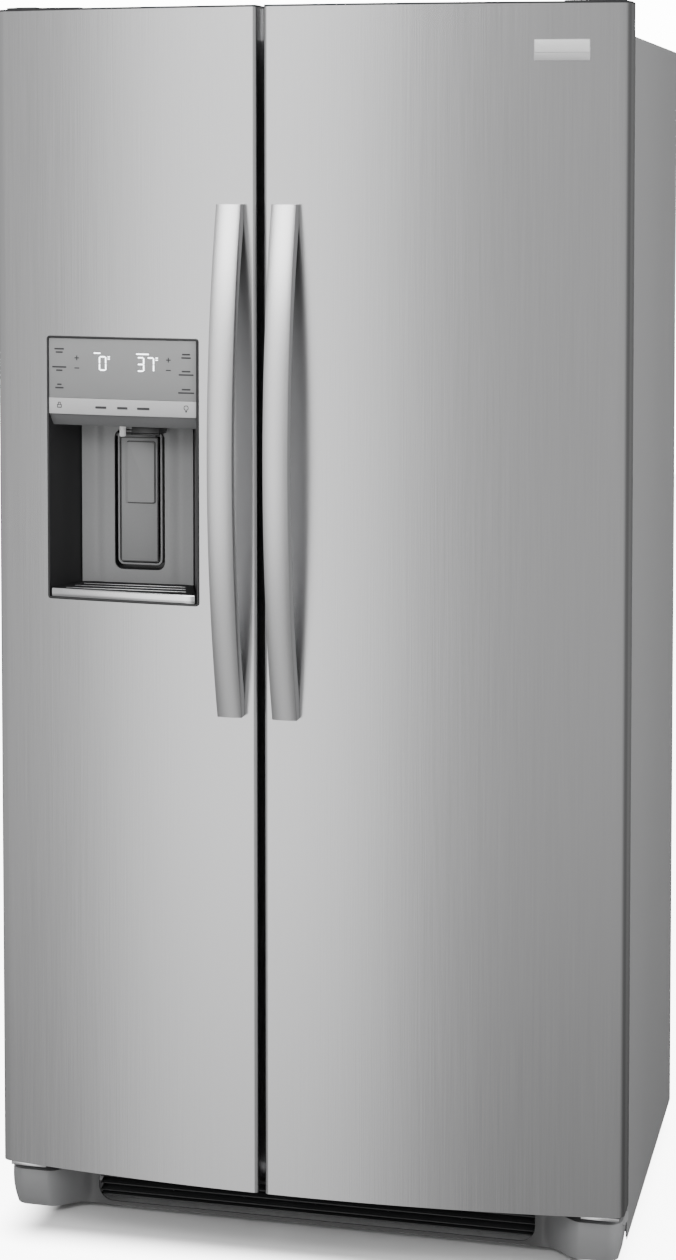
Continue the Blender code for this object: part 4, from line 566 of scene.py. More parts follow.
# Cabinet liners
# Vacuum-formed white plastic tubs, one for each compartment, with large soft corners, a step in
# the floor over the machine space, and ledges in the side walls for the shelves and drawers.
TUB_ROUND = 0.016
TUB_WALL = 0.0018
STEP_Y, STEP_Z = DOOR_EDGE + 0.425, 0.275
LEDGE_WIDE, LEDGE_HIGH = 0.009, 0.008
LEDGE_DROP = 0.0066
TUB_GAP = Vector((0.002, 0.0, 0.002))
LEDGES = {
    "freezer": ("freezer_shelf",),
    "fresh_food": ("fresh_food_shelf_upper", "fresh_food_shelf_middle", "crisper_cover"),
}
white = coat(
    "white_liner", (0.80, 0.81, 0.82), 0.30, {"Specular IOR Level": 0.5, "Coat Weight": 0.15},
    size=30.0, tint=0.008, rough_spread=0.04, height=0.00005,
)


def tub(low, high):
    """The inside of a compartment: an L-shaped outline in depth, extruded across."""
    bm = bmesh.new()
    outline = (
        (low.y, low.z), (STEP_Y, low.z), (STEP_Y, STEP_Z), (high.y, STEP_Z), (high.y, high.z),
        (low.y, high.z),
    )
    side = bm.faces.new([bm.verts.new((low.x, y, z)) for y, z in outline])
    pushed = bmesh.ops.extrude_face_region(bm, geom=[side], use_keep_orig=True)["geom"]
    for v in pushed:
        if isinstance(v, bmesh.types.BMVert):
            v.co.x = high.x
    bmesh.ops.recalc_face_normals(bm, faces=bm.faces)
    mouth = [f for f in bm.faces if all(abs(v.co.y - low.y) < 1e-5 for v in f.verts)]
    bmesh.ops.delete(bm, geom=mouth, context="FACES_ONLY")
    soften(bm, TUB_ROUND, 5)
    bmesh.ops.reverse_faces(bm, faces=bm.faces)
    bmesh.ops.solidify(bm, geom=bm.faces[:], thickness=TUB_WALL)
    return bm


for side in ("freezer", "fresh_food"):
    low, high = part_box(side + "_liner")
    low, high = low + TUB_GAP, high - TUB_GAP - Vector((0.0, 0.002, 0.0))
    made = [tub(low, high)]
    for node in LEDGES[side]:
        shelf_low, shelf_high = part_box(node)
        top = shelf_high.z - LEDGE_DROP
        for x, reach in ((low.x, LEDGE_WIDE), (high.x, -LEDGE_WIDE)):
            ends = (x - reach * 0.1, x + reach)
            ledge = box_piece(
                (min(ends), shelf_low.y + 0.024, top - LEDGE_HIGH),
                (max(ends), shelf_high.y - 0.004, top), 0.0028, 3,
            )
            made.append(ledge)
    put(side + "_tub", merge(*made), white, "cabinet", "white_plastic", side + "_liner", crease=50)


# Compartment lamps
# A frosted lens in the ceiling of each compartment, lit a little, and clipped into a slim
# white frame.
LAMP_HALF = 0.090
LAMP_FRONT, LAMP_BACK = -0.100, -0.020
LENS_SIDE, LENS_END = 0.012, 0.010
lens_white = coat(
    "frosted_lens", (0.88, 0.90, 0.92), 0.5, {"Emission Strength": 0.6}, size=700.0, tint=0.02,
    rough_spread=0.05, height=0.00005,
)
lens_white.node_tree.nodes["Principled BSDF"].inputs["Emission Color"].default_value = (
    0.95, 0.97, 1.0, 1.0,
)
for side in ("freezer", "fresh_food"):
    low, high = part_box(side + "_liner")
    middle = (low.x + high.x) / 2
    surround = box_piece(
        (middle - LAMP_HALF, LAMP_FRONT, high.z - 0.012),
        (middle + LAMP_HALF, LAMP_BACK, high.z - 0.0015), 0.004, 3,
    )
    put(side + "_lamp_frame", surround, white, "cabinet", "white_plastic")
    lens = box_piece(
        (middle - LAMP_HALF + LENS_SIDE, LAMP_FRONT + LENS_END, high.z - 0.0145),
        (middle + LAMP_HALF - LENS_SIDE, LAMP_BACK - LENS_END, high.z - 0.0100), 0.002, 3,
    )
    put(side + "_lamp_lens", lens, lens_white, "cabinet", "white_plastic")


# Evaporator cover
# A white moulded panel over the cold-air duct at the freezer's back, with air slots through it
# and notches round the ledges.
put(
    "evaporator_panel", from_cad("evaporator_cover", 0.0008), white, "cabinet", "white_plastic",
    "evaporator_cover",
)


# Ice maker
# A white moulded housing over the ice bin, with an open mould for the water in its top and a
# steel wire arm in front that feels how full the bin is.
put(
    "ice_maker_body", from_cad("ice_maker", 0.003, 3), white, "cabinet", "white_plastic",
    "ice_maker",
)
WIRE_RADIUS = 0.0013


def wire(half, place, axis):
    """A straight run of wire by its middle."""
    outline = ((0.0, -half), (WIRE_RADIUS, -half), (WIRE_RADIUS, half), (0.0, half))
    return turned_piece(outline, place, axis, 12, 0.0004)


low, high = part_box("ice_maker")
arm = merge(
    wire(0.045, (high.x - 0.030, low.y - 0.006, low.z + 0.030), "Z"),
    wire(0.060, (high.x - 0.090, low.y - 0.006, low.z - 0.015), "X"),
)
put("ice_maker_arm", arm, zinc, "cabinet", "zinc")


# Glass shelves
# Tempered glass plates, faintly green at the edge, in white moulded trims: a deep rounded rail
# in front and slim runners along the sides and back.
SHELF_RAIL = 0.018
SHELF_GLASS = 0.0045
RUNNER_WIDE, RUNNER_HIGH = 0.008, 0.006
glass = coat(
    "tempered_glass", (0.90, 0.96, 0.94), 0.06, {"Transmission Weight": 0.9, "IOR": 1.5},
    size=8.0, tint=0.008, rough_spread=0.02,
)
for node in (
    "freezer_shelf", "crisper_cover", "fresh_food_shelf_upper", "fresh_food_shelf_middle",
):
    low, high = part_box(node)
    top = high.z - 0.0006
    plate = box_piece(
        (low.x + 0.004, low.y + 0.010, top - SHELF_GLASS), (high.x - 0.004, high.y - 0.004, top),
        0.0008,
    )
    put(node + "_glass", plate, glass, "cabinet", "shelf_glass", node)
    under = high.z - RUNNER_HIGH
    trim = [
        box_piece(low, (high.x, low.y + SHELF_RAIL, high.z), 0.004, 4),
        box_piece((low.x, high.y - RUNNER_WIDE, under), high, 0.0015),
        box_piece((low.x, low.y + 0.01, under), (low.x + RUNNER_WIDE, high.y, high.z), 0.0015),
        box_piece((high.x - RUNNER_WIDE, low.y + 0.01, under), high, 0.0015),
    ]
    put(node + "_trim", merge(*trim), white, "cabinet", "white_plastic")


# Drawers, basket and ice bin
# Injection-moulded boxes with rounded corners and a rolled front lip to pull them by. The
# crispers and the ice bin are clear; the freezer basket is white.
BOX_ROUND = 0.012
BOX_WALL = 0.0025
PULL_INSET = 0.060
clear = coat(
    "clear_moulding", (0.93, 0.96, 0.98), 0.10, {"Transmission Weight": 0.88, "IOR": 1.49},
    size=12.0, tint=0.008, rough_spread=0.03,
)


def open_box(low, high, rounding=BOX_ROUND):
    """A box without a lid, rounded at its corners and round its floor."""
    bm = box_piece(low, high)
    lid = max(bm.faces, key=lambda f: f.calc_center_median().z)
    bmesh.ops.delete(bm, geom=[lid], context="FACES_ONLY")
    soften(bm, rounding, 4)
    bmesh.ops.recalc_face_normals(bm, faces=bm.faces)
    floor_face = min(bm.faces, key=lambda f: f.calc_center_median().z)
    if floor_face.normal.z > 0:
        bmesh.ops.reverse_faces(bm, faces=bm.faces)
    bmesh.ops.solidify(bm, geom=bm.faces[:], thickness=BOX_WALL)
    return bm


for node, material, slot in (
    ("lower_crisper", clear, "clear_plastic"), ("upper_crisper", clear, "clear_plastic"),
    ("freezer_basket", white, "white_plastic"), ("ice_bin", clear, "clear_plastic"),
):
    low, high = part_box(node)
    put(node + "_box", open_box(low, high), material, node, slot, node, crease=50)
    pull = [
        box_piece(
            (low.x + 0.003, low.y - 0.005, high.z - 0.030),
            (high.x - 0.003, low.y + 0.0015, high.z), 0.0025, 3,
        ),
        box_piece(
            (low.x + PULL_INSET, low.y - 0.006, high.z - 0.012),
            (high.x - PULL_INSET, low.y + 0.010, high.z - 0.004), 0.003, 3,
        ),
    ]
    put(node + "_pull", merge(*pull), white, node, "white_plastic")


# Lower hinges
# A plated steel bracket at each front corner: a thick plate with a flange behind it, and a
# turned bush and pin that carry the door.
bright_zinc = coat(
    "bright_zinc", (0.78, 0.78, 0.79), 0.24, {"Metallic": 1.0}, size=120.0, tint=0.04,
    rough_spread=0.08, height=0.00003,
)
for side in ("freezer", "fresh_food"):
    node = side + "_lower_hinge"
    put(side + "_lower_bracket", from_cad(node, 0.0006), bright_zinc, "cabinet", "zinc", node)


# Upper hinges and their covers
# A folded steel arm with its pin on each side of the cabinet's top, painted dark, and a moulded
# black cover over its base.
dark_paint = coat(
    "dark_hinge_paint", (0.05, 0.05, 0.052), 0.45, {"Metallic": 0.3}, size=300.0, tint=0.05,
    rough_spread=0.06, height=0.00004,
)
for side in ("freezer", "fresh_food"):
    node = side + "_upper_hinge"
    put(side + "_upper_arm", from_cad(node, 0.0006), dark_paint, "cabinet", "zinc", node)
    node = side + "_hinge_cover"
    put(side + "_hinge_cap", from_cad(node, 0.004, 4), black, "cabinet", "black_plastic", node)


# Door skins
# Each door's front is one sheet of brushed stainless steel, bent to a broad shared arc across
# both doors, with a large fold at the outer edge, a tight one at the gap and a lip behind.
ARC_RADIUS = 3.2293
ARC_RISE = 0.0325
ARC_MIDDLE = DOOR_EDGE - ARC_RISE + ARC_RADIUS
SKIN = 0.001
SKIN_LIP = 0.012
OUTER_ROUND = 0.012
INNER_ROUND = 0.005
ARC_STEPS = 40
WINDOW_LAP = 0.0014
TOP_BAND = 0.0028  # height of the end cap's rim over the steel


def front(x):
    """Where the doors' front arc is at x."""
    return ARC_MIDDLE - math.sqrt(ARC_RADIUS ** 2 - x * x)


def upright(bm, x, y):
    """The upright edges of a sheet at one place in plan."""
    return [
        e for e in bm.edges
        if all(abs(v.co.x - x) < 2e-4 and abs(v.co.y - y) < 2e-4 for v in e.verts)
    ]


def steel_finish(name, colour, roughness, lines):
    """Brushed steel, with fine upright hairlines."""
    return coat(
        name, colour, roughness, {"Metallic": 1.0}, (1.0, 1.0, 0.006), lines, tint=0.035,
        rough_spread=0.05, height=0.00003, detail=3.0,
    )


stainless = steel_finish("brushed_stainless", (0.56, 0.56, 0.565), 0.22, 900.0)


def door_wall(node, outer, inner, band=False):
    """A door's steel sheet before it has a thickness, or with band the cap's rim over it."""
    low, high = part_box(node)
    if band:
        low.z = high.z - TOP_BAND
    else:
        high.z -= TOP_BAND
    back = high.y
    lip = SKIN_LIP if inner > outer else -SKIN_LIP
    near_outer = outer + math.copysign(OUTER_ROUND + 0.003, lip)
    near_inner = inner - math.copysign(INNER_ROUND + 0.002, lip)
    xs = [near_outer + (near_inner - near_outer) * i / ARC_STEPS for i in range(ARC_STEPS + 1)]
    line = [(outer + lip, back), (outer, back), (outer, front(outer))]
    line += [(x, front(x)) for x in xs]
    line += [(inner, front(inner)), (inner, back), (inner - lip, back)]
    bm = sheet(line, low.z, high.z)
    soften(bm, OUTER_ROUND, 8, edges=upright(bm, outer, front(outer)))
    soften(bm, INNER_ROUND, 5, edges=upright(bm, inner, front(inner)))
    for x in (outer, inner):
        soften(bm, 0.002, 3, edges=upright(bm, x, back))
    return bm


def slice_at(bm, axis, levels):
    """Cuts a mesh across an axis at each level, and keeps both sides."""
    for level in levels:
        place, normal = Vector((0.0, 0.0, 0.0)), Vector((0.0, 0.0, 0.0))
        place[axis], normal[axis] = level, 1.0
        everything = bm.verts[:] + bm.edges[:] + bm.faces[:]
        bmesh.ops.bisect_plane(bm, geom=everything, plane_co=place, plane_no=normal)


def cut_window(bm, low, high, deep):
    """Opens a sheet between two corners, where it lies in front of deep."""
    for axis in (0, 2):
        slice_at(bm, axis, (low[axis], high[axis]))
    inside = []
    for face in bm.faces:
        c = face.calc_center_median()
        if low[0] < c.x < high[0] and low[2] < c.z < high[2] and c.y < deep:
            inside.append(face)
    bmesh.ops.delete(bm, geom=inside, context="FACES")


window_low, window_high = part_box("dispenser_housing")
lap = Vector((WINDOW_LAP, 0.0, WINDOW_LAP))
low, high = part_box("freezer_door_skin")
skin = door_wall("freezer_door_skin", low.x, high.x)
cut_window(skin, window_low + lap, window_high - lap, DOOR_EDGE + 0.01)
thicken(skin, SKIN)
put("freezer_door_front", skin, stainless, "freezer_door", "steel", "freezer_door_skin", crease=50)
low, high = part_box("fresh_food_door_skin")
skin = door_wall("fresh_food_door_skin", high.x, low.x)
thicken(skin, SKIN)
put(
    "fresh_food_door_front", skin, stainless, "fresh_food_door", "steel", "fresh_food_door_skin",
    crease=50,
)


# Door end caps
# Moulded black plates that close each door at its top and bottom, bored for the hinge pins.
# The top one has a rim that shows as a dark line over the steel.
for door in ("freezer_door", "fresh_food_door"):
    node = door + "_skin"
    low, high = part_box(node)
    ends = (low.x, high.x) if door == "freezer_door" else (high.x, low.x)
    rim = door_wall(node, *ends, band=True)
    thicken(rim, 0.003)
    put(door + "_top_rim", rim, black, door, "black_plastic", crease=50)
    for node in (door + "_top_cap", door + "_bottom_cap"):
        put(node + "_moulding", from_cad(node, 0.0006), black, door, "black_plastic", node)


# Door liners
# Vacuum-formed white plastic like the cabinet's: a sheet over the door's back, with a raised
# border that reaches into the cabinet and the soft corners left by the forming.
for door in ("freezer_door", "fresh_food_door"):
    node = door + "_liner"
    put(
        door + "_inner_panel", from_cad(node, 0.0035, 3), white, door, "white_plastic", node,
        crease=50,
    )


# Door gaskets
# Grey flexible seals with a magnet inside, fixed round the back of each door liner. They close
# the gap to the cabinet's front.
rubber = coat(
    "grey_rubber", (0.16, 0.165, 0.17), 0.62, size=400.0, tint=0.05, rough_spread=0.06,
    height=0.00005,
)
for door in ("freezer_door", "fresh_food_door"):
    node = door + "_gasket"
    put(door + "_seal", from_cad(node, 0.0025, 3), rubber, door, "seal_rubber", node)


# Door bins
# Clear moulded trays hooked on the door liner, open at the top, with a white bar across the
# front that keeps bottles in.
for node in [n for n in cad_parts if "_door_bin_" in n]:
    door = node.split("_bin_")[0]
    low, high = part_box(node)
    put(node + "_tray", open_box(low, high, 0.014), clear, door, "clear_plastic", node, crease=50)
    bar = box_piece(
        (low.x + 0.004, high.y - 0.0045, high.z - 0.022),
        (high.x - 0.004, high.y + 0.0012, high.z + 0.001), 0.0025, 3,
    )
    put(node + "_bar", bar, white, door, "white_plastic")


# Door handles
# A flat bar of satin steel, slightly crowned across its width and bowed along its length, cut
# square at both ends and fixed to the door by its two feet.
HANDLE_ROWS = 72
HANDLE_COLUMNS = 8
HANDLE_DEPTH = 0.016
HANDLE_BOW = 0.050
HANDLE_CROWN = 0.0014
HANDLE_EDGE = 0.0011
FOOT_SHARE = 0.08
satin = steel_finish("satin_bar", (0.66, 0.66, 0.665), 0.30, 1400.0)


def bow(t):
    """How far the bar stands off at t, from -1 at its lower end to 1 at its upper end."""
    return HANDLE_BOW * (1.0 - t * t)


def handle_bar(node):
    """A block cut into rows and columns, then bowed, crowned and softened at its edges."""
    low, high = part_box(node)
    middle, half = (low.x + high.x) / 2, (high.x - low.x) / 2
    face = front(max(abs(middle) - half, 0.0)) - 0.0003
    foot = bow(1.0 - FOOT_SHARE)
    bm = bmesh.new()
    bmesh.ops.create_cube(bm, size=2.0)
    slice_at(bm, 2, [-1.0 + 2.0 * i / HANDLE_ROWS for i in range(1, HANDLE_ROWS)])
    slice_at(bm, 0, [-1.0 + 2.0 * i / HANDLE_COLUMNS for i in range(1, HANDLE_COLUMNS)])
    long_edges = [
        e for e in bm.edges
        if all(abs(abs(v.co.x) - 1.0) < NEAR and abs(abs(v.co.y) - 1.0) < NEAR for v in e.verts)
        and abs(e.verts[0].co.z - e.verts[1].co.z) > NEAR
    ]
    for v in bm.verts:
        t, across = v.co.z, v.co.x
        if v.co.y < 0.0:
            y = face - HANDLE_DEPTH - bow(t) + HANDLE_CROWN * across * across
        else:
            y = face - max(0.0, (bow(t) - foot) * HANDLE_BOW / (HANDLE_BOW - foot))
        v.co = (middle + half * across, y, (low.z + high.z) / 2 + t * (high.z - low.z) / 2)
    soften(bm, HANDLE_EDGE, 3, edges=[e for e in long_edges if e.is_valid])
    ends = [
        e for e in bm.edges
        if all(min(v.co.z - low.z, high.z - v.co.z) < 1e-5 for v in e.verts)
        and e.calc_face_angle(0.0) > 0.9
    ]
    soften(bm, 0.0004, 1, edges=ends)
    return bm


for door in ("freezer_door", "fresh_food_door"):
    node = door + "_handle"
    put(door + "_bar", handle_bar(node), satin, door, "handle_steel", node, crease=35)


# Dispenser housing
# A black moulding let into the freezer door: a thin rim with rounded corners that laps over the
# steel and follows its arc, and a niche whose walls close in towards a grey back panel.
RIM_WIDTH = 0.003
RIM_PROUD = 0.0025
RIM_ROUND = 0.0045
NICHE_TOP = 1.185
NICHE_FLOOR = 0.921
NICHE_BACK = DOOR_EDGE + 0.055
NICHE_TAPER = 0.029
NICHE_DROP = 0.020
NICHE_ROUND = 0.007
RECESS_ROUND = 0.012
RECESS_X = (-0.2958, -0.2197)
RECESS_Z = (0.954, 1.158)
RECESS_BACK = DOOR_EDGE + 0.0705
ELECTRONICS_TOP = 1.2955


def flat_plate(low_x, high_x, low_z, high_z, rounding=0.0, segments=6):
    """A flat face that looks forward, with rounded corners."""
    bm = bmesh.new()
    bmesh.ops.create_grid(bm, x_segments=1, y_segments=1, size=0.5)
    for v in bm.verts:
        v.co = (
            low_x + (v.co.x + 0.5) * (high_x - low_x), 0.0,
            low_z + (v.co.y + 0.5) * (high_z - low_z),
        )
    if rounding:
        bmesh.ops.bevel(
            bm, geom=bm.verts[:], offset=rounding, affect="VERTICES", segments=segments,
            profile=0.5, material=-1,
        )
    return bm


ARC_COLUMNS = 10  # columns a curved plate is cut into


def deepen(bm, front_y, thickness, width=0.0, columns=0, curved=False):
    """Sets a flat face at front_y, or along the doors' arc, and makes it solid behind."""
    xs = [v.co.x for v in bm.verts]
    low_x, high_x = min(xs), max(xs)
    slice_at(bm, 0, [low_x + (high_x - low_x) * i / columns for i in range(1, columns)])
    back = bmesh.ops.extrude_face_region(bm, geom=bm.faces[:], use_keep_orig=True)
    back_verts = {v for v in back["geom"] if isinstance(v, bmesh.types.BMVert)}
    for v in bm.verts:
        v.co.y = front_y + (front(v.co.x) if curved else 0.0)
        if v in back_verts:
            v.co.y += thickness
    bmesh.ops.recalc_face_normals(bm, faces=bm.faces)
    if width:
        soften(bm, width, 2, 50.0)
    return bm


def flat_ring(low_x, high_x, low_z, high_z, rounding, width):
    """A flat rounded frame that looks forward."""
    bm = flat_plate(low_x, high_x, low_z, high_z, rounding)
    bmesh.ops.inset_region(
        bm, faces=bm.faces[:], thickness=width, use_even_offset=True, use_boundary=True
    )
    middle = [f for f in bm.faces if len(f.verts) > 4]
    bmesh.ops.delete(bm, geom=middle, context="FACES")
    return bm


low, high = window_low, window_high
rim = flat_ring(low.x, high.x, low.z, high.z, RIM_ROUND, RIM_WIDTH)
rim = deepen(rim, -RIM_PROUD, 0.012, 0.0006, ARC_COLUMNS, curved=True)
inner = (low.x + RIM_WIDTH, high.x - RIM_WIDTH)
niche = bmesh.new()
bmesh.ops.create_cube(niche, size=2.0)
for v in niche.verts:
    near = v.co.y < 0
    x = inner[0] if v.co.x < 0 else inner[1]
    if not near:
        x += NICHE_TAPER if v.co.x < 0 else -NICHE_TAPER
    z = NICHE_FLOOR if v.co.z < 0 else NICHE_TOP - (0.0 if near else NICHE_DROP)
    v.co = (x, front(x) + 0.001 if near else NICHE_BACK, z)
mouth = min(niche.faces, key=lambda f: f.calc_center_median().y)
bmesh.ops.delete(niche, geom=[mouth], context="FACES_ONLY")
soften(niche, NICHE_ROUND, 5)
bmesh.ops.reverse_faces(niche, faces=niche.faces)
slice_at(niche, 0, RECESS_X)
slice_at(niche, 2, RECESS_Z)
target = Vector((sum(RECESS_X) / 2, NICHE_BACK, sum(RECESS_Z) / 2))
pocket = min(niche.faces, key=lambda f: (f.calc_center_median() - target).length)
pushed = bmesh.ops.extrude_face_region(niche, geom=[pocket])["geom"]
pushed = [v for v in pushed if isinstance(v, bmesh.types.BMVert)]
bmesh.ops.delete(niche, geom=[pocket], context="FACES_ONLY")
bmesh.ops.translate(niche, vec=(0.0, RECESS_BACK - NICHE_BACK, 0.0), verts=pushed)
pocket_edges = [
    e for e in niche.edges
    if abs(e.verts[0].co.y - e.verts[1].co.y) > 0.01
    and all(RECESS_X[0] - NEAR < v.co.x < RECESS_X[1] + NEAR for v in e.verts)
    and all(v.co.y > NICHE_BACK - NEAR and v.co.z < 1.0 for v in e.verts)
]
soften(niche, RECESS_ROUND, 5, edges=pocket_edges)
bmesh.ops.dissolve_degenerate(niche, dist=1e-5, edges=niche.edges)
gloss_black = coat(
    "gloss_black_moulding", (0.026, 0.026, 0.027), 0.30, size=40.0, tint=0.03,
    rough_spread=0.04, height=0.00002,
)
put(
    "dispenser_rim", rim, gloss_black, "freezer_door", "black_plastic", "dispenser_housing",
    crease=35,
)
put("dispenser_niche", niche, gloss_black, "freezer_door", "black_plastic", crease=50)
closing = box_piece(
    (inner[0] - 0.001, DOOR_EDGE + 0.010, NICHE_TOP + 0.004),
    (inner[1] + 0.001, window_high.y, ELECTRONICS_TOP), 0.002,
)
put("dispenser_electronics_box", closing, gloss_black, "freezer_door", "black_plastic")


# Niche back panel
# A satin grey moulding on the niche's back wall. Its middle stands proud and its sides sweep
# forward, and a rounded border is fixed round the paddle's recess.
BACK_SWEEP = 0.006
BACK_RAISED = 0.004
BACK_RAMP = (0.56, 0.78)  # shares of the half width where the raised middle ends
BACK_COLUMNS = 36
BACK_FLOOR = 0.9345
HOLE_TOP = 1.1585
mid_grey = coat(
    "satin_grey_moulding", (0.29, 0.292, 0.295), 0.36, {"Specular IOR Level": 0.55}, size=450.0,
    tint=0.03, rough_spread=0.06, height=0.00004, detail=2.0,
)
back = flat_plate(*RECESS_X, RECESS_Z[0], HOLE_TOP, RECESS_ROUND)
side_x = (inner[0] + NICHE_TAPER - 0.0005, inner[1] - NICHE_TAPER + 0.0005)
side_z = (BACK_FLOOR, NICHE_TOP - NICHE_DROP + 0.0010)
recess_x, recess_z = sum(RECESS_X) / 2, sum(RECESS_Z) / 2
hole = back.faces[:]
spread = bmesh.ops.extrude_edge_only(back, edges=back.edges[:])["geom"]
for v in spread:
    if isinstance(v, bmesh.types.BMVert):
        v.co.x = side_x[0] if v.co.x < recess_x else side_x[1]
        v.co.z = side_z[0] if v.co.z < recess_z else side_z[1]
bmesh.ops.delete(back, geom=hole, context="FACES")
bmesh.ops.remove_doubles(back, verts=back.verts, dist=1e-5)
deepen(back, NICHE_BACK - 0.0012, 0.0011, columns=BACK_COLUMNS)
centre = sum(side_x) / 2
half = (side_x[1] - side_x[0]) / 2
for v in back.verts:
    out = abs((v.co.x - centre) / half)
    v.co.y -= BACK_SWEEP * out ** 4
    v.co.y -= BACK_RAISED * ease((BACK_RAMP[1] - out) / (BACK_RAMP[1] - BACK_RAMP[0]))
put("dispenser_back_panel", back, mid_grey, "freezer_door", "grey_plastic", crease=50)
border = flat_ring(
    RECESS_X[0] + 0.0048, RECESS_X[1] - 0.0040, RECESS_Z[0] + 0.0070, 1.157, 0.009, 0.0030,
)
border = deepen(border, NICHE_BACK - 0.0048, 0.013, 0.0008)
put("paddle_border", border, mid_grey, "freezer_door", "grey_plastic", crease=50)


# Display panel and touch strip
# A grey printed panel with a smooth front over a lighter touch strip, both bent to the door's
# arc, and below them a bevelled lip over the niche.
STRIP_TOP = 1.2085
STRIP_PROUD = 0.0016
PANEL_TOP = 1.2937
PANEL_PROUD = 0.0012
LIP_HIGH = 0.0165
LIP_SLOPE = 0.0090
LIP_DEEP = 0.018
panel_grey = coat(
    "display_grey", (0.375, 0.378, 0.38), 0.30, {"Specular IOR Level": 0.4, "Coat Weight": 0.2},
    size=25.0, tint=0.02, rough_spread=0.04, height=0.00002,
)
strip_silver = coat(
    "touch_strip_silver", (0.70, 0.70, 0.705), 0.34, {"Specular IOR Level": 0.4}, size=25.0,
    tint=0.02, rough_spread=0.04, height=0.00002,
)
lip_grey = coat(
    "lip_grey", (0.17, 0.172, 0.175), 0.38, size=300.0, tint=0.03, rough_spread=0.05,
    height=0.00003,
)
panel_x = (window_low.x + RIM_WIDTH + 0.0003, window_high.x - RIM_WIDTH - 0.0003)
panel = flat_plate(*panel_x, STRIP_TOP, PANEL_TOP)
panel = deepen(panel, -PANEL_PROUD, 0.006, 0.0004, ARC_COLUMNS, curved=True)
put(
    "display_panel", panel, panel_grey, "freezer_door", "grey_plastic", "dispenser_panel",
    crease=35,
)
strip = flat_plate(*panel_x, NICHE_TOP + 0.0003, STRIP_TOP - 0.0004)
strip = deepen(strip, -STRIP_PROUD, 0.006, 0.0005, ARC_COLUMNS, curved=True)
put("touch_strip", strip, strip_silver, "freezer_door", "grey_plastic", crease=35)
lip = box_piece((panel_x[0], 0.0, NICHE_TOP - LIP_HIGH), (panel_x[1], 1.0, NICHE_TOP))
for v in lip.verts:
    y = front(v.co.x)
    if v.co.y < 0.5:
        v.co.y = y + (0.0004 if v.co.z > NICHE_TOP - 0.001 else LIP_SLOPE)
    else:
        v.co.y = y + LIP_DEEP
soften(lip, 0.0006)
put("niche_lip", lip, lip_grey, "freezer_door", "grey_plastic")


# Display marks
# Lit seven-segment figures and dark printed marks, each a thin raised print on the panel. The
# marks are plain dashes and simple signs.
PRINT = 0.00025
STRIP_MIDDLE = 1.1965
SEGMENTS = {  # across and up, in halves of a figure's width and height
    "top": (0.0, 2.0, True), "middle": (0.0, 1.0, True), "bottom": (0.0, 0.0, True),
    "upper_left": (-1.0, 1.0, False), "upper_right": (1.0, 1.0, False),
    "lower_left": (-1.0, 0.0, False), "lower_right": (1.0, 0.0, False),
}
FIGURES = {
    0: ("top", "bottom", "upper_left", "upper_right", "lower_left", "lower_right"),
    3: ("top", "middle", "bottom", "upper_right", "lower_right"),
    7: ("top", "upper_right", "lower_right"),
}
FIGURE_WIDTH = 0.0095
FIGURE_HEIGHT = 0.0190
FIGURE_FOOT = 1.2495
STROKE = 0.0017
DASHES = (  # middle, then the lengths of the upper and the lower dash
    (-0.3570, 1.2760, 0.015, 0.011), (-0.3570, 1.2500, 0.022, 0.010),
    (-0.3570, 1.2250, 0.007, 0.013), (-0.1630, 1.2720, 0.012, 0.014),
    (-0.1630, 1.2480, 0.013, 0.022), (-0.1630, 1.2225, 0.013, 0.024),
)
LOCK = (  # middle from the strip's, width and height
    (-0.3570, -0.0020, 0.0065, 0.0012), (-0.3570, 0.0020, 0.0065, 0.0010),
    (-0.3570, 0.0052, 0.0040, 0.0010), (-0.3600, 0.0, 0.0010, 0.0050),
    (-0.3540, 0.0, 0.0010, 0.0050), (-0.3587, 0.0037, 0.0009, 0.0030),
    (-0.3553, 0.0037, 0.0009, 0.0030),
)
lit_mark = coat(
    "lit_figures", (0.9, 0.95, 0.97), 0.5, {"Emission Strength": 6.0}, size=900.0, tint=0.02,
)
lit_mark.node_tree.nodes["Principled BSDF"].inputs["Emission Color"].default_value = (
    0.93, 0.97, 1.0, 1.0,
)
dark_mark = coat("dark_print", (0.055, 0.055, 0.058), 0.5, size=900.0, tint=0.05)


def mark(x, z, width, height, proud=PANEL_PROUD):
    """A printed bar on the curved panel, by its middle."""
    bar = flat_plate(
        x - width / 2, x + width / 2, z - height / 2, z + height / 2, min(width, height) * 0.25, 2
    )
    return deepen(bar, -proud - PRINT, PRINT * 1.2, curved=True)


def figure(value, x):
    """The lit bars of one figure, by its middle."""
    half_wide, half_high = FIGURE_WIDTH / 2, FIGURE_HEIGHT / 2
    bars = []
    for name in FIGURES[value]:
        across, up, level = SEGMENTS[name]
        x_bar, z_bar = x + across * half_wide, FIGURE_FOOT + up * half_high
        if level:
            bars.append(mark(x_bar, z_bar, FIGURE_WIDTH - STROKE, STROKE))
        else:
            bars.append(mark(x_bar, z_bar + half_high / 2, STROKE, half_high - STROKE / 2))
    return bars


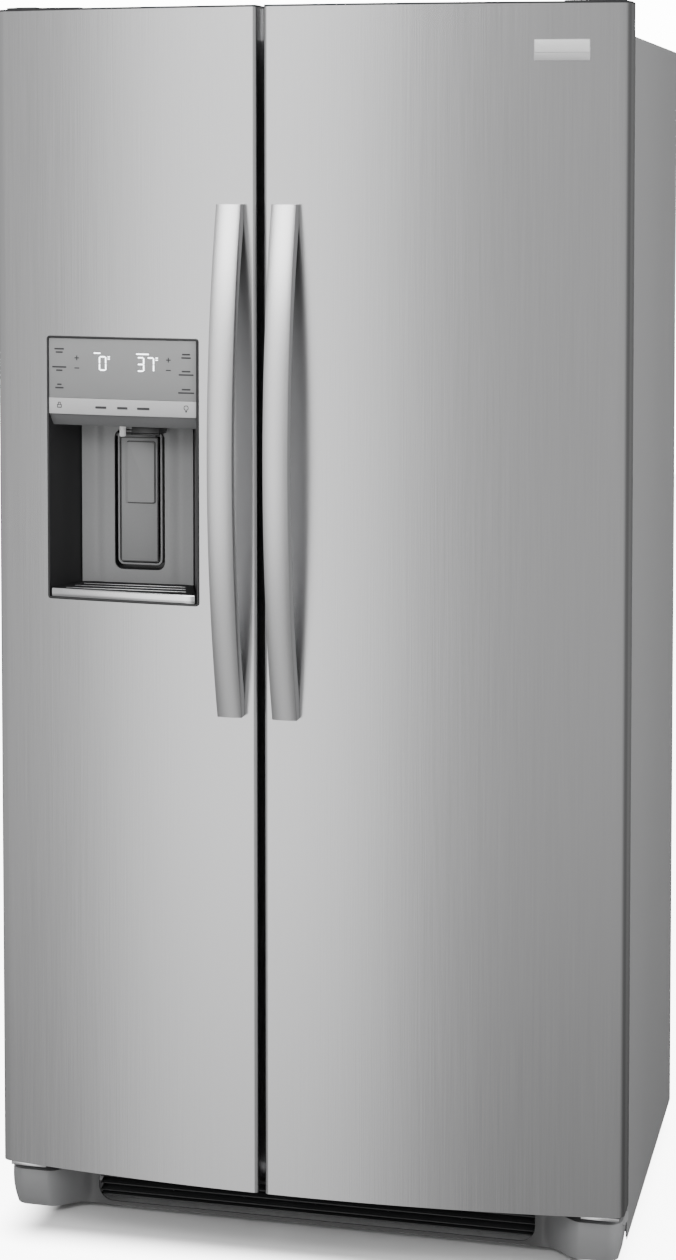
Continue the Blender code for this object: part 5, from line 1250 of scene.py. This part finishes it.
figures = figure(0, -0.2895) + figure(3, -0.2315) + figure(7, -0.2165)
for x in (-0.2800, -0.2070):
    figures += [mark(x, 1.2685, 0.0034, 0.0012), mark(x, 1.2655, 0.0034, 0.0012)]
for x, length in ((-0.2980, 0.010), (-0.2285, 0.019)):
    figures.append(mark(x, 1.2735, length, 0.0016))
put("lit_display", merge(*figures), lit_mark, "freezer_door", "grey_plastic")
prints = []
for x in (-0.3295, -0.1895):
    prints += [mark(x, 1.2660, 0.0070, 0.0015), mark(x, 1.2660, 0.0015, 0.0070)]
    prints.append(mark(x, 1.2515, 0.0075, 0.0015))
for x, z, upper, lower in DASHES:
    prints += [mark(x, z + 0.0024, upper, 0.0022), mark(x, z - 0.0024, lower, 0.0022)]
for x, width in ((-0.2925, 0.017), (-0.2595, 0.016), (-0.2275, 0.019)):
    prints.append(mark(x, STRIP_MIDDLE - 0.0005, width, 0.0034, STRIP_PROUD))
for x, rise, width, height in LOCK:
    prints.append(mark(x, STRIP_MIDDLE + rise, width, height, STRIP_PROUD))
bulb = flat_ring(-0.1665, -0.1595, STRIP_MIDDLE - 0.001, STRIP_MIDDLE + 0.006, 0.0029, 0.0009)
prints.append(deepen(bulb, -STRIP_PROUD - PRINT, PRINT * 1.2, curved=True))
prints.append(mark(-0.1630, STRIP_MIDDLE - 0.0026, 0.0026, 0.0022, STRIP_PROUD))
put("printed_marks", merge(*prints), dark_mark, "freezer_door", "grey_plastic")


# Paddle
# A long grey lever hung from its top behind the chute. A lighter soft pad is let into its upper
# half, with a fine groove round it whose black floor is painted shade, and a black ring just
# behind the lever's edge is a painted shade line along its outline.
PAD_X = (-0.2745, -0.2345)
PAD_Z = (1.0530, 1.1405)
PAD_ROUND = 0.003
GROOVE = 0.0016
EDGE_INSET = 0.0112
EDGE_TOP = 1.1470
EDGE_LINE = 0.0012
low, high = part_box("dispenser_paddle")
lever = from_cad("dispenser_paddle", 0.0010)
put("paddle_lever", lever, mid_grey, "paddle", "grey_plastic", "dispenser_paddle")
# Painted shade: a gloss black ring forms the floor of the groove round the pad, standing in for
# the shade in it.
groove = flat_ring(
    PAD_X[0] - GROOVE, PAD_X[1] + GROOVE, PAD_Z[0] - GROOVE, PAD_Z[1] + GROOVE, PAD_ROUND, GROOVE,
)
groove = deepen(groove, low.y + 0.0009, 0.0012)
put("pad_groove_painted_shade", groove, gloss_black, "paddle", "black_plastic")
pad_grey = coat(
    "soft_pad_grey", (0.34, 0.342, 0.345), 0.5, size=600.0, tint=0.03, rough_spread=0.05,
    height=0.00005,
)
pad = deepen(flat_plate(*PAD_X, *PAD_Z, PAD_ROUND), low.y - 0.0006, 0.0030, 0.0006)
put("paddle_pad", pad, pad_grey, "paddle", "grey_plastic")
# Painted shade: a gloss black ring just behind the lever's edge, standing in for the shade along
# its outline.
edge = flat_ring(
    low.x + EDGE_INSET, high.x - EDGE_INSET, low.z + 0.0004, EDGE_TOP, 0.002, EDGE_LINE
)
edge = deepen(edge, low.y + 0.0017, EDGE_LINE)
put("paddle_edge_painted_shade", edge, gloss_black, "paddle", "black_plastic")


# Ice chute, flap and water nozzle
# The black chute brings ice down through the door and is closed by a thin hinged flap. Beside
# it a short white tube pours water. Its white glows faintly, a painted highlight that keeps it
# bright.
CHUTE_LIFT = 0.008
tube = from_cad("ice_chute", 0.0015)
low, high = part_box("ice_chute")
for v in tube.verts:
    v.co.z += CHUTE_LIFT * (high.z - v.co.z) / (high.z - low.z)
flap = from_cad("chute_flap", 0.0003)
bmesh.ops.translate(flap, vec=(0.0, 0.0, CHUTE_LIFT), verts=flap.verts)
put("ice_chute_tube", tube, gloss_black, "freezer_door", "black_plastic", "ice_chute")
put("chute_flap_plate", flap, gloss_black, "flap", "black_plastic", "chute_flap")
low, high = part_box("water_nozzle")
middle = (low + high) / 2
radius = (high.x - low.x) / 2
nozzle = turned_piece(
    ((0.0022, low.z + 0.004), (0.0022, low.z), (radius - 0.0008, low.z), (radius, low.z + 0.001),
     (radius, low.z + 0.020), (radius - 0.0006, low.z + 0.021), (radius - 0.0006, high.z),
     (0.0, high.z)), (middle.x, middle.y, 0.0), steps=28,
)
# Painted light: the spout's white has a faint glow of its own, to keep it as bright as where light
# falls on it.
spout_white_painted_glow = coat(
    "spout_white_painted_glow", (0.90, 0.90, 0.90), 0.35, {"Emission Strength": 0.25}, size=60.0, tint=0.01,
)
put("water_spout", nozzle, spout_white_painted_glow, "freezer_door", "white_plastic", "water_nozzle")


# Drip tray
# A dull black slotted plate over a shallow sump, with three satin bars on it and a rounded
# chrome lip along its front that follows the door.
BARS = 3
BAR_PITCH = 0.020
BAR_HALF = 0.0006
LIP_COLUMNS = 12
chrome = coat(
    "bright_chrome", (0.82, 0.82, 0.83), 0.12, {"Metallic": 1.0}, size=60.0, tint=0.01,
    rough_spread=0.04,
)
low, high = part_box("drip_tray")
plate = from_cad("drip_tray", 0.0003)
for v in plate.verts:
    v.co.y = max(v.co.y, front(v.co.x) + 0.0010)
dull_black = coat(
    "dull_black_moulding", (0.018, 0.018, 0.019), 0.75, {"Specular IOR Level": 0.12}, size=500.0,
    tint=0.06, rough_spread=0.06, height=0.00005,
)
put("drip_tray_plate", plate, dull_black, "tray", "chrome", "drip_tray")
lip = flat_plate(low.x, high.x, low.z - 0.0005, high.z - 0.0002)
lip = deepen(lip, -0.0022, 0.0052, 0.0018, LIP_COLUMNS, curved=True)
put("drip_tray_lip", lip, chrome, "tray", "chrome", crease=50)
bars = []
for i in range(BARS):
    y = high.y - 0.022 - BAR_PITCH * i
    inset = 0.012 + NICHE_TAPER * (y - low.y) / (high.y - low.y)
    bar = box_piece(
        (low.x + inset, y - BAR_HALF, high.z - 0.004),
        (high.x - inset, y + BAR_HALF, high.z + 0.0004), 0.0005,
    )
    bars.append(bar)
put("drip_tray_bars", merge(*bars), satin, "tray", "chrome")


# Badge
# A small two-tone plate of pressed aluminium, left blank, stuck near the right door's upper
# corner.
DIVIDE_SHARE = 0.38
BAND_INSET = 0.001
BADGE_COLUMNS = 4
low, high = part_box("badge")
badge_light = coat(
    "badge_aluminium", (0.92, 0.92, 0.92), 0.35, {"Metallic": 0.1}, size=300.0, tint=0.015,
    rough_spread=0.05,
)
badge_dark = coat(
    "badge_lower_band", (0.60, 0.60, 0.605), 0.38, {"Metallic": 0.1}, size=300.0, tint=0.015,
    rough_spread=0.05,
)
divide = low.z + (high.z - low.z) * DIVIDE_SHARE
band_x = (low.x + BAND_INSET, high.x - BAND_INSET)
upper = flat_plate(*band_x, divide + 0.0004, high.z - BAND_INSET, 0.0006, 2)
lower = flat_plate(*band_x, low.z + BAND_INSET, divide - 0.0004, 0.0006, 2)
rim = flat_plate(low.x, high.x, low.z, high.z, 0.0015, 4)
rim = deepen(rim, -0.0014, 0.0012, 0.0003, BADGE_COLUMNS, curved=True)
upper = deepen(upper, -0.0020, 0.0008, 0.0002, BADGE_COLUMNS, curved=True)
lower = deepen(lower, -0.0018, 0.0006, 0.0002, BADGE_COLUMNS, curved=True)
put("badge_plate", rim, badge_dark, "fresh_food_door", "silver_plastic", "badge")
put("badge_upper_band", upper, badge_light, "fresh_food_door", "silver_plastic")
put("badge_lower_band", lower, badge_dark, "fresh_food_door", "silver_plastic")


# Camera
# It stands to the right of the middle at eye height, as for a catalogue picture: level enough
# that the upright edges stay upright, with the framing lowered by a lens shift.
camera = bpy.data.objects.new("camera", bpy.data.cameras.new("camera"))
camera.data.lens = 73.5
camera.data.sensor_width = 36.0
camera.data.shift_y = -0.262
camera.location = (0.8886, -3.7594, 1.5432)
camera.rotation_euler = (math.radians(86.96), 0.0, math.radians(13.52))
bpy.context.scene.collection.objects.link(camera)
bpy.context.scene.camera = camera


# Studio surround
# The camera sees plain white. The steel sees an even grey room with a tall glow ahead and a
# little to the left, dimmer towards the floor, and darkness behind.
ROOM = 0.20
WIDE_GLOW = (-0.6, 0.35, 0.44)  # cosines at its edge and where it is full, then its strength
NARROW_GLOW = (0.972, 1.0, 1.7)
GLOW_AZIMUTH = math.radians(-18.0)
LOW_DIM = (-0.42, -0.22, 0.46)  # heights where it is full and where it ends, then its strength
BACKDROP = 14.0
world = bpy.data.worlds.new("studio")
bpy.context.scene.world = world
world.use_nodes = True
tree = world.node_tree
tree.nodes.clear()
towards = add_node(tree, "ShaderNodeTexCoord").outputs["Generated"]
parts = add_node(tree, "ShaderNodeSeparateXYZ", inputs={0: towards})
level_way = add_node(
    tree, "ShaderNodeCombineXYZ", inputs={"X": parts.outputs["X"], "Y": parts.outputs["Y"]}
)
level_way = add_node(
    tree, "ShaderNodeVectorMath", {"operation": "NORMALIZE"}, {0: level_way.outputs[0]}
)
glow = add_node(
    tree, "ShaderNodeVectorMath", {"operation": "DOT_PRODUCT"}, {
        0: level_way.outputs[0],
        1: Vector((math.sin(GLOW_AZIMUTH), -math.cos(GLOW_AZIMUTH), 0.0)),
    },
)
total = ROOM
for start, end, strength in (WIDE_GLOW, NARROW_GLOW):
    lobe = add_node(
        tree, "ShaderNodeMapRange", {"interpolation_type": "SMOOTHSTEP"},
        {"Value": glow.outputs["Value"], "From Min": start, "From Max": end, "To Max": strength},
    )
    total = add_node(
        tree, "ShaderNodeMath", {"operation": "ADD"}, {0: lobe.outputs["Result"], 1: total}
    ).outputs[0]
start, end, strength = LOW_DIM
dim = add_node(
    tree, "ShaderNodeMapRange", {"interpolation_type": "SMOOTHSTEP"},
    {"Value": parts.outputs["Z"], "From Min": start, "From Max": end, "To Min": strength},
)
total = add_node(
    tree, "ShaderNodeMath", {"operation": "MULTIPLY"}, {0: total, 1: dim.outputs["Result"]}
)
lit = add_node(tree, "ShaderNodeBackground", inputs={"Strength": total.outputs[0]})
plain = add_node(tree, "ShaderNodeBackground", inputs={"Strength": BACKDROP})
for background in (lit, plain):
    background.inputs["Color"].default_value = (1.0, 1.0, 1.0, 1.0)
seen = add_node(tree, "ShaderNodeLightPath").outputs["Is Camera Ray"]
mixed = add_node(
    tree, "ShaderNodeMixShader", inputs={0: seen, 1: lit.outputs[0], 2: plain.outputs[0]}
)
add_node(tree, "ShaderNodeOutputWorld", inputs={"Surface": mixed.outputs[0]})


# Lights
# Four soft boxes: one ahead on the left, a stronger one at the right side, one behind and a
# wide one overhead. A light that isn't mirrored only shades, and the steel doesn't show it.
def soft_light(name, place, aim, width, height, power, mirrored=True):
    """A rectangular lamp turned towards aim."""
    lamp = bpy.data.lights.new(name, "AREA")
    lamp.shape = "RECTANGLE"
    lamp.size, lamp.size_y = width, height
    lamp.energy = power
    holder = bpy.data.objects.new(name, lamp)
    holder.location = place
    holder.visible_glossy = mirrored
    holder.rotation_euler = (Vector(aim) - Vector(place)).to_track_quat("-Z", "Y").to_euler()
    bpy.context.scene.collection.objects.link(holder)


MIDDLE = (0.0, 0.0, 0.9)
soft_light("key_light", (-1.0, -4.4, 3.6), MIDDLE, 2.2, 1.6, 60.0)
soft_light("side_light", (4.2, -0.4, 2.0), MIDDLE, 2.0, 2.6, 150.0, False)
soft_light("back_light", (-2.2, 4.2, 2.4), MIDDLE, 2.0, 2.0, 60.0)
soft_light("top_light", (0.0, -0.8, 4.2), (0.0, 0.0, 1.0), 3.0, 3.0, 60.0)


# Floor
# A plain pale floor. The camera sees it nearly white, with a painted shadow where the object
# stands: its glow fades out there. The steel doesn't see it.
FLOOR_HALF = 9.0
FLOOR_LIT = 8.0
FLOOR_FADE = 0.09
STAND = Vector((0.47 - FLOOR_FADE, 0.38 - FLOOR_FADE, 0.0))
bm = bmesh.new()
bmesh.ops.create_grid(bm, x_segments=1, y_segments=1, size=FLOOR_HALF)
mesh = bpy.data.meshes.new("floor")
bm.to_mesh(mesh)
bm.free()
floor = bpy.data.objects.new("floor", mesh)
floor.visible_glossy = False
bpy.context.scene.collection.objects.link(floor)
floor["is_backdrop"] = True
pale = bpy.data.materials.new("pale_floor")
pale.use_nodes = True
tree = pale.node_tree
shader = tree.nodes["Principled BSDF"]
shader.inputs["Roughness"].default_value = 0.8
seen = add_node(tree, "ShaderNodeLightPath").outputs["Is Camera Ray"]
tint = add_node(
    tree, "ShaderNodeMix", {"data_type": "RGBA"},
    {"Factor": seen, 6: (0.45, 0.45, 0.45, 1.0), 7: (0.95, 0.95, 0.95, 1.0)},
)
tree.links.new(tint.outputs[2], shader.inputs["Base Color"])
shader.inputs["Emission Color"].default_value = (1.0, 1.0, 1.0, 1.0)
# Painted shadow: the floor's glow fades to nothing near where the object stands.
place = add_node(tree, "ShaderNodeTexCoord").outputs["Object"]
place = add_node(tree, "ShaderNodeVectorMath", {"operation": "ABSOLUTE"}, {0: place})
away = add_node(
    tree, "ShaderNodeVectorMath", {"operation": "SUBTRACT"},
    {0: place.outputs[0], 1: STAND},
)
away = add_node(
    tree, "ShaderNodeVectorMath", {"operation": "MAXIMUM"},
    {0: away.outputs[0], 1: (0.0, 0.0, 0.0)},
)
away = add_node(tree, "ShaderNodeVectorMath", {"operation": "LENGTH"}, {0: away.outputs[0]})
floor_shadow_fade = add_node(
    tree, "ShaderNodeMapRange", {"interpolation_type": "SMOOTHSTEP"},
    {"Value": away.outputs["Value"], "From Min": 0.0, "From Max": FLOOR_FADE, "To Max": FLOOR_LIT},
)
glow = add_node(
    tree, "ShaderNodeMath", {"operation": "MULTIPLY"}, {0: seen, 1: floor_shadow_fade.outputs["Result"]}
)
tree.links.new(glow.outputs[0], shader.inputs["Emission Strength"])
mesh.materials.append(pale)


low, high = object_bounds()
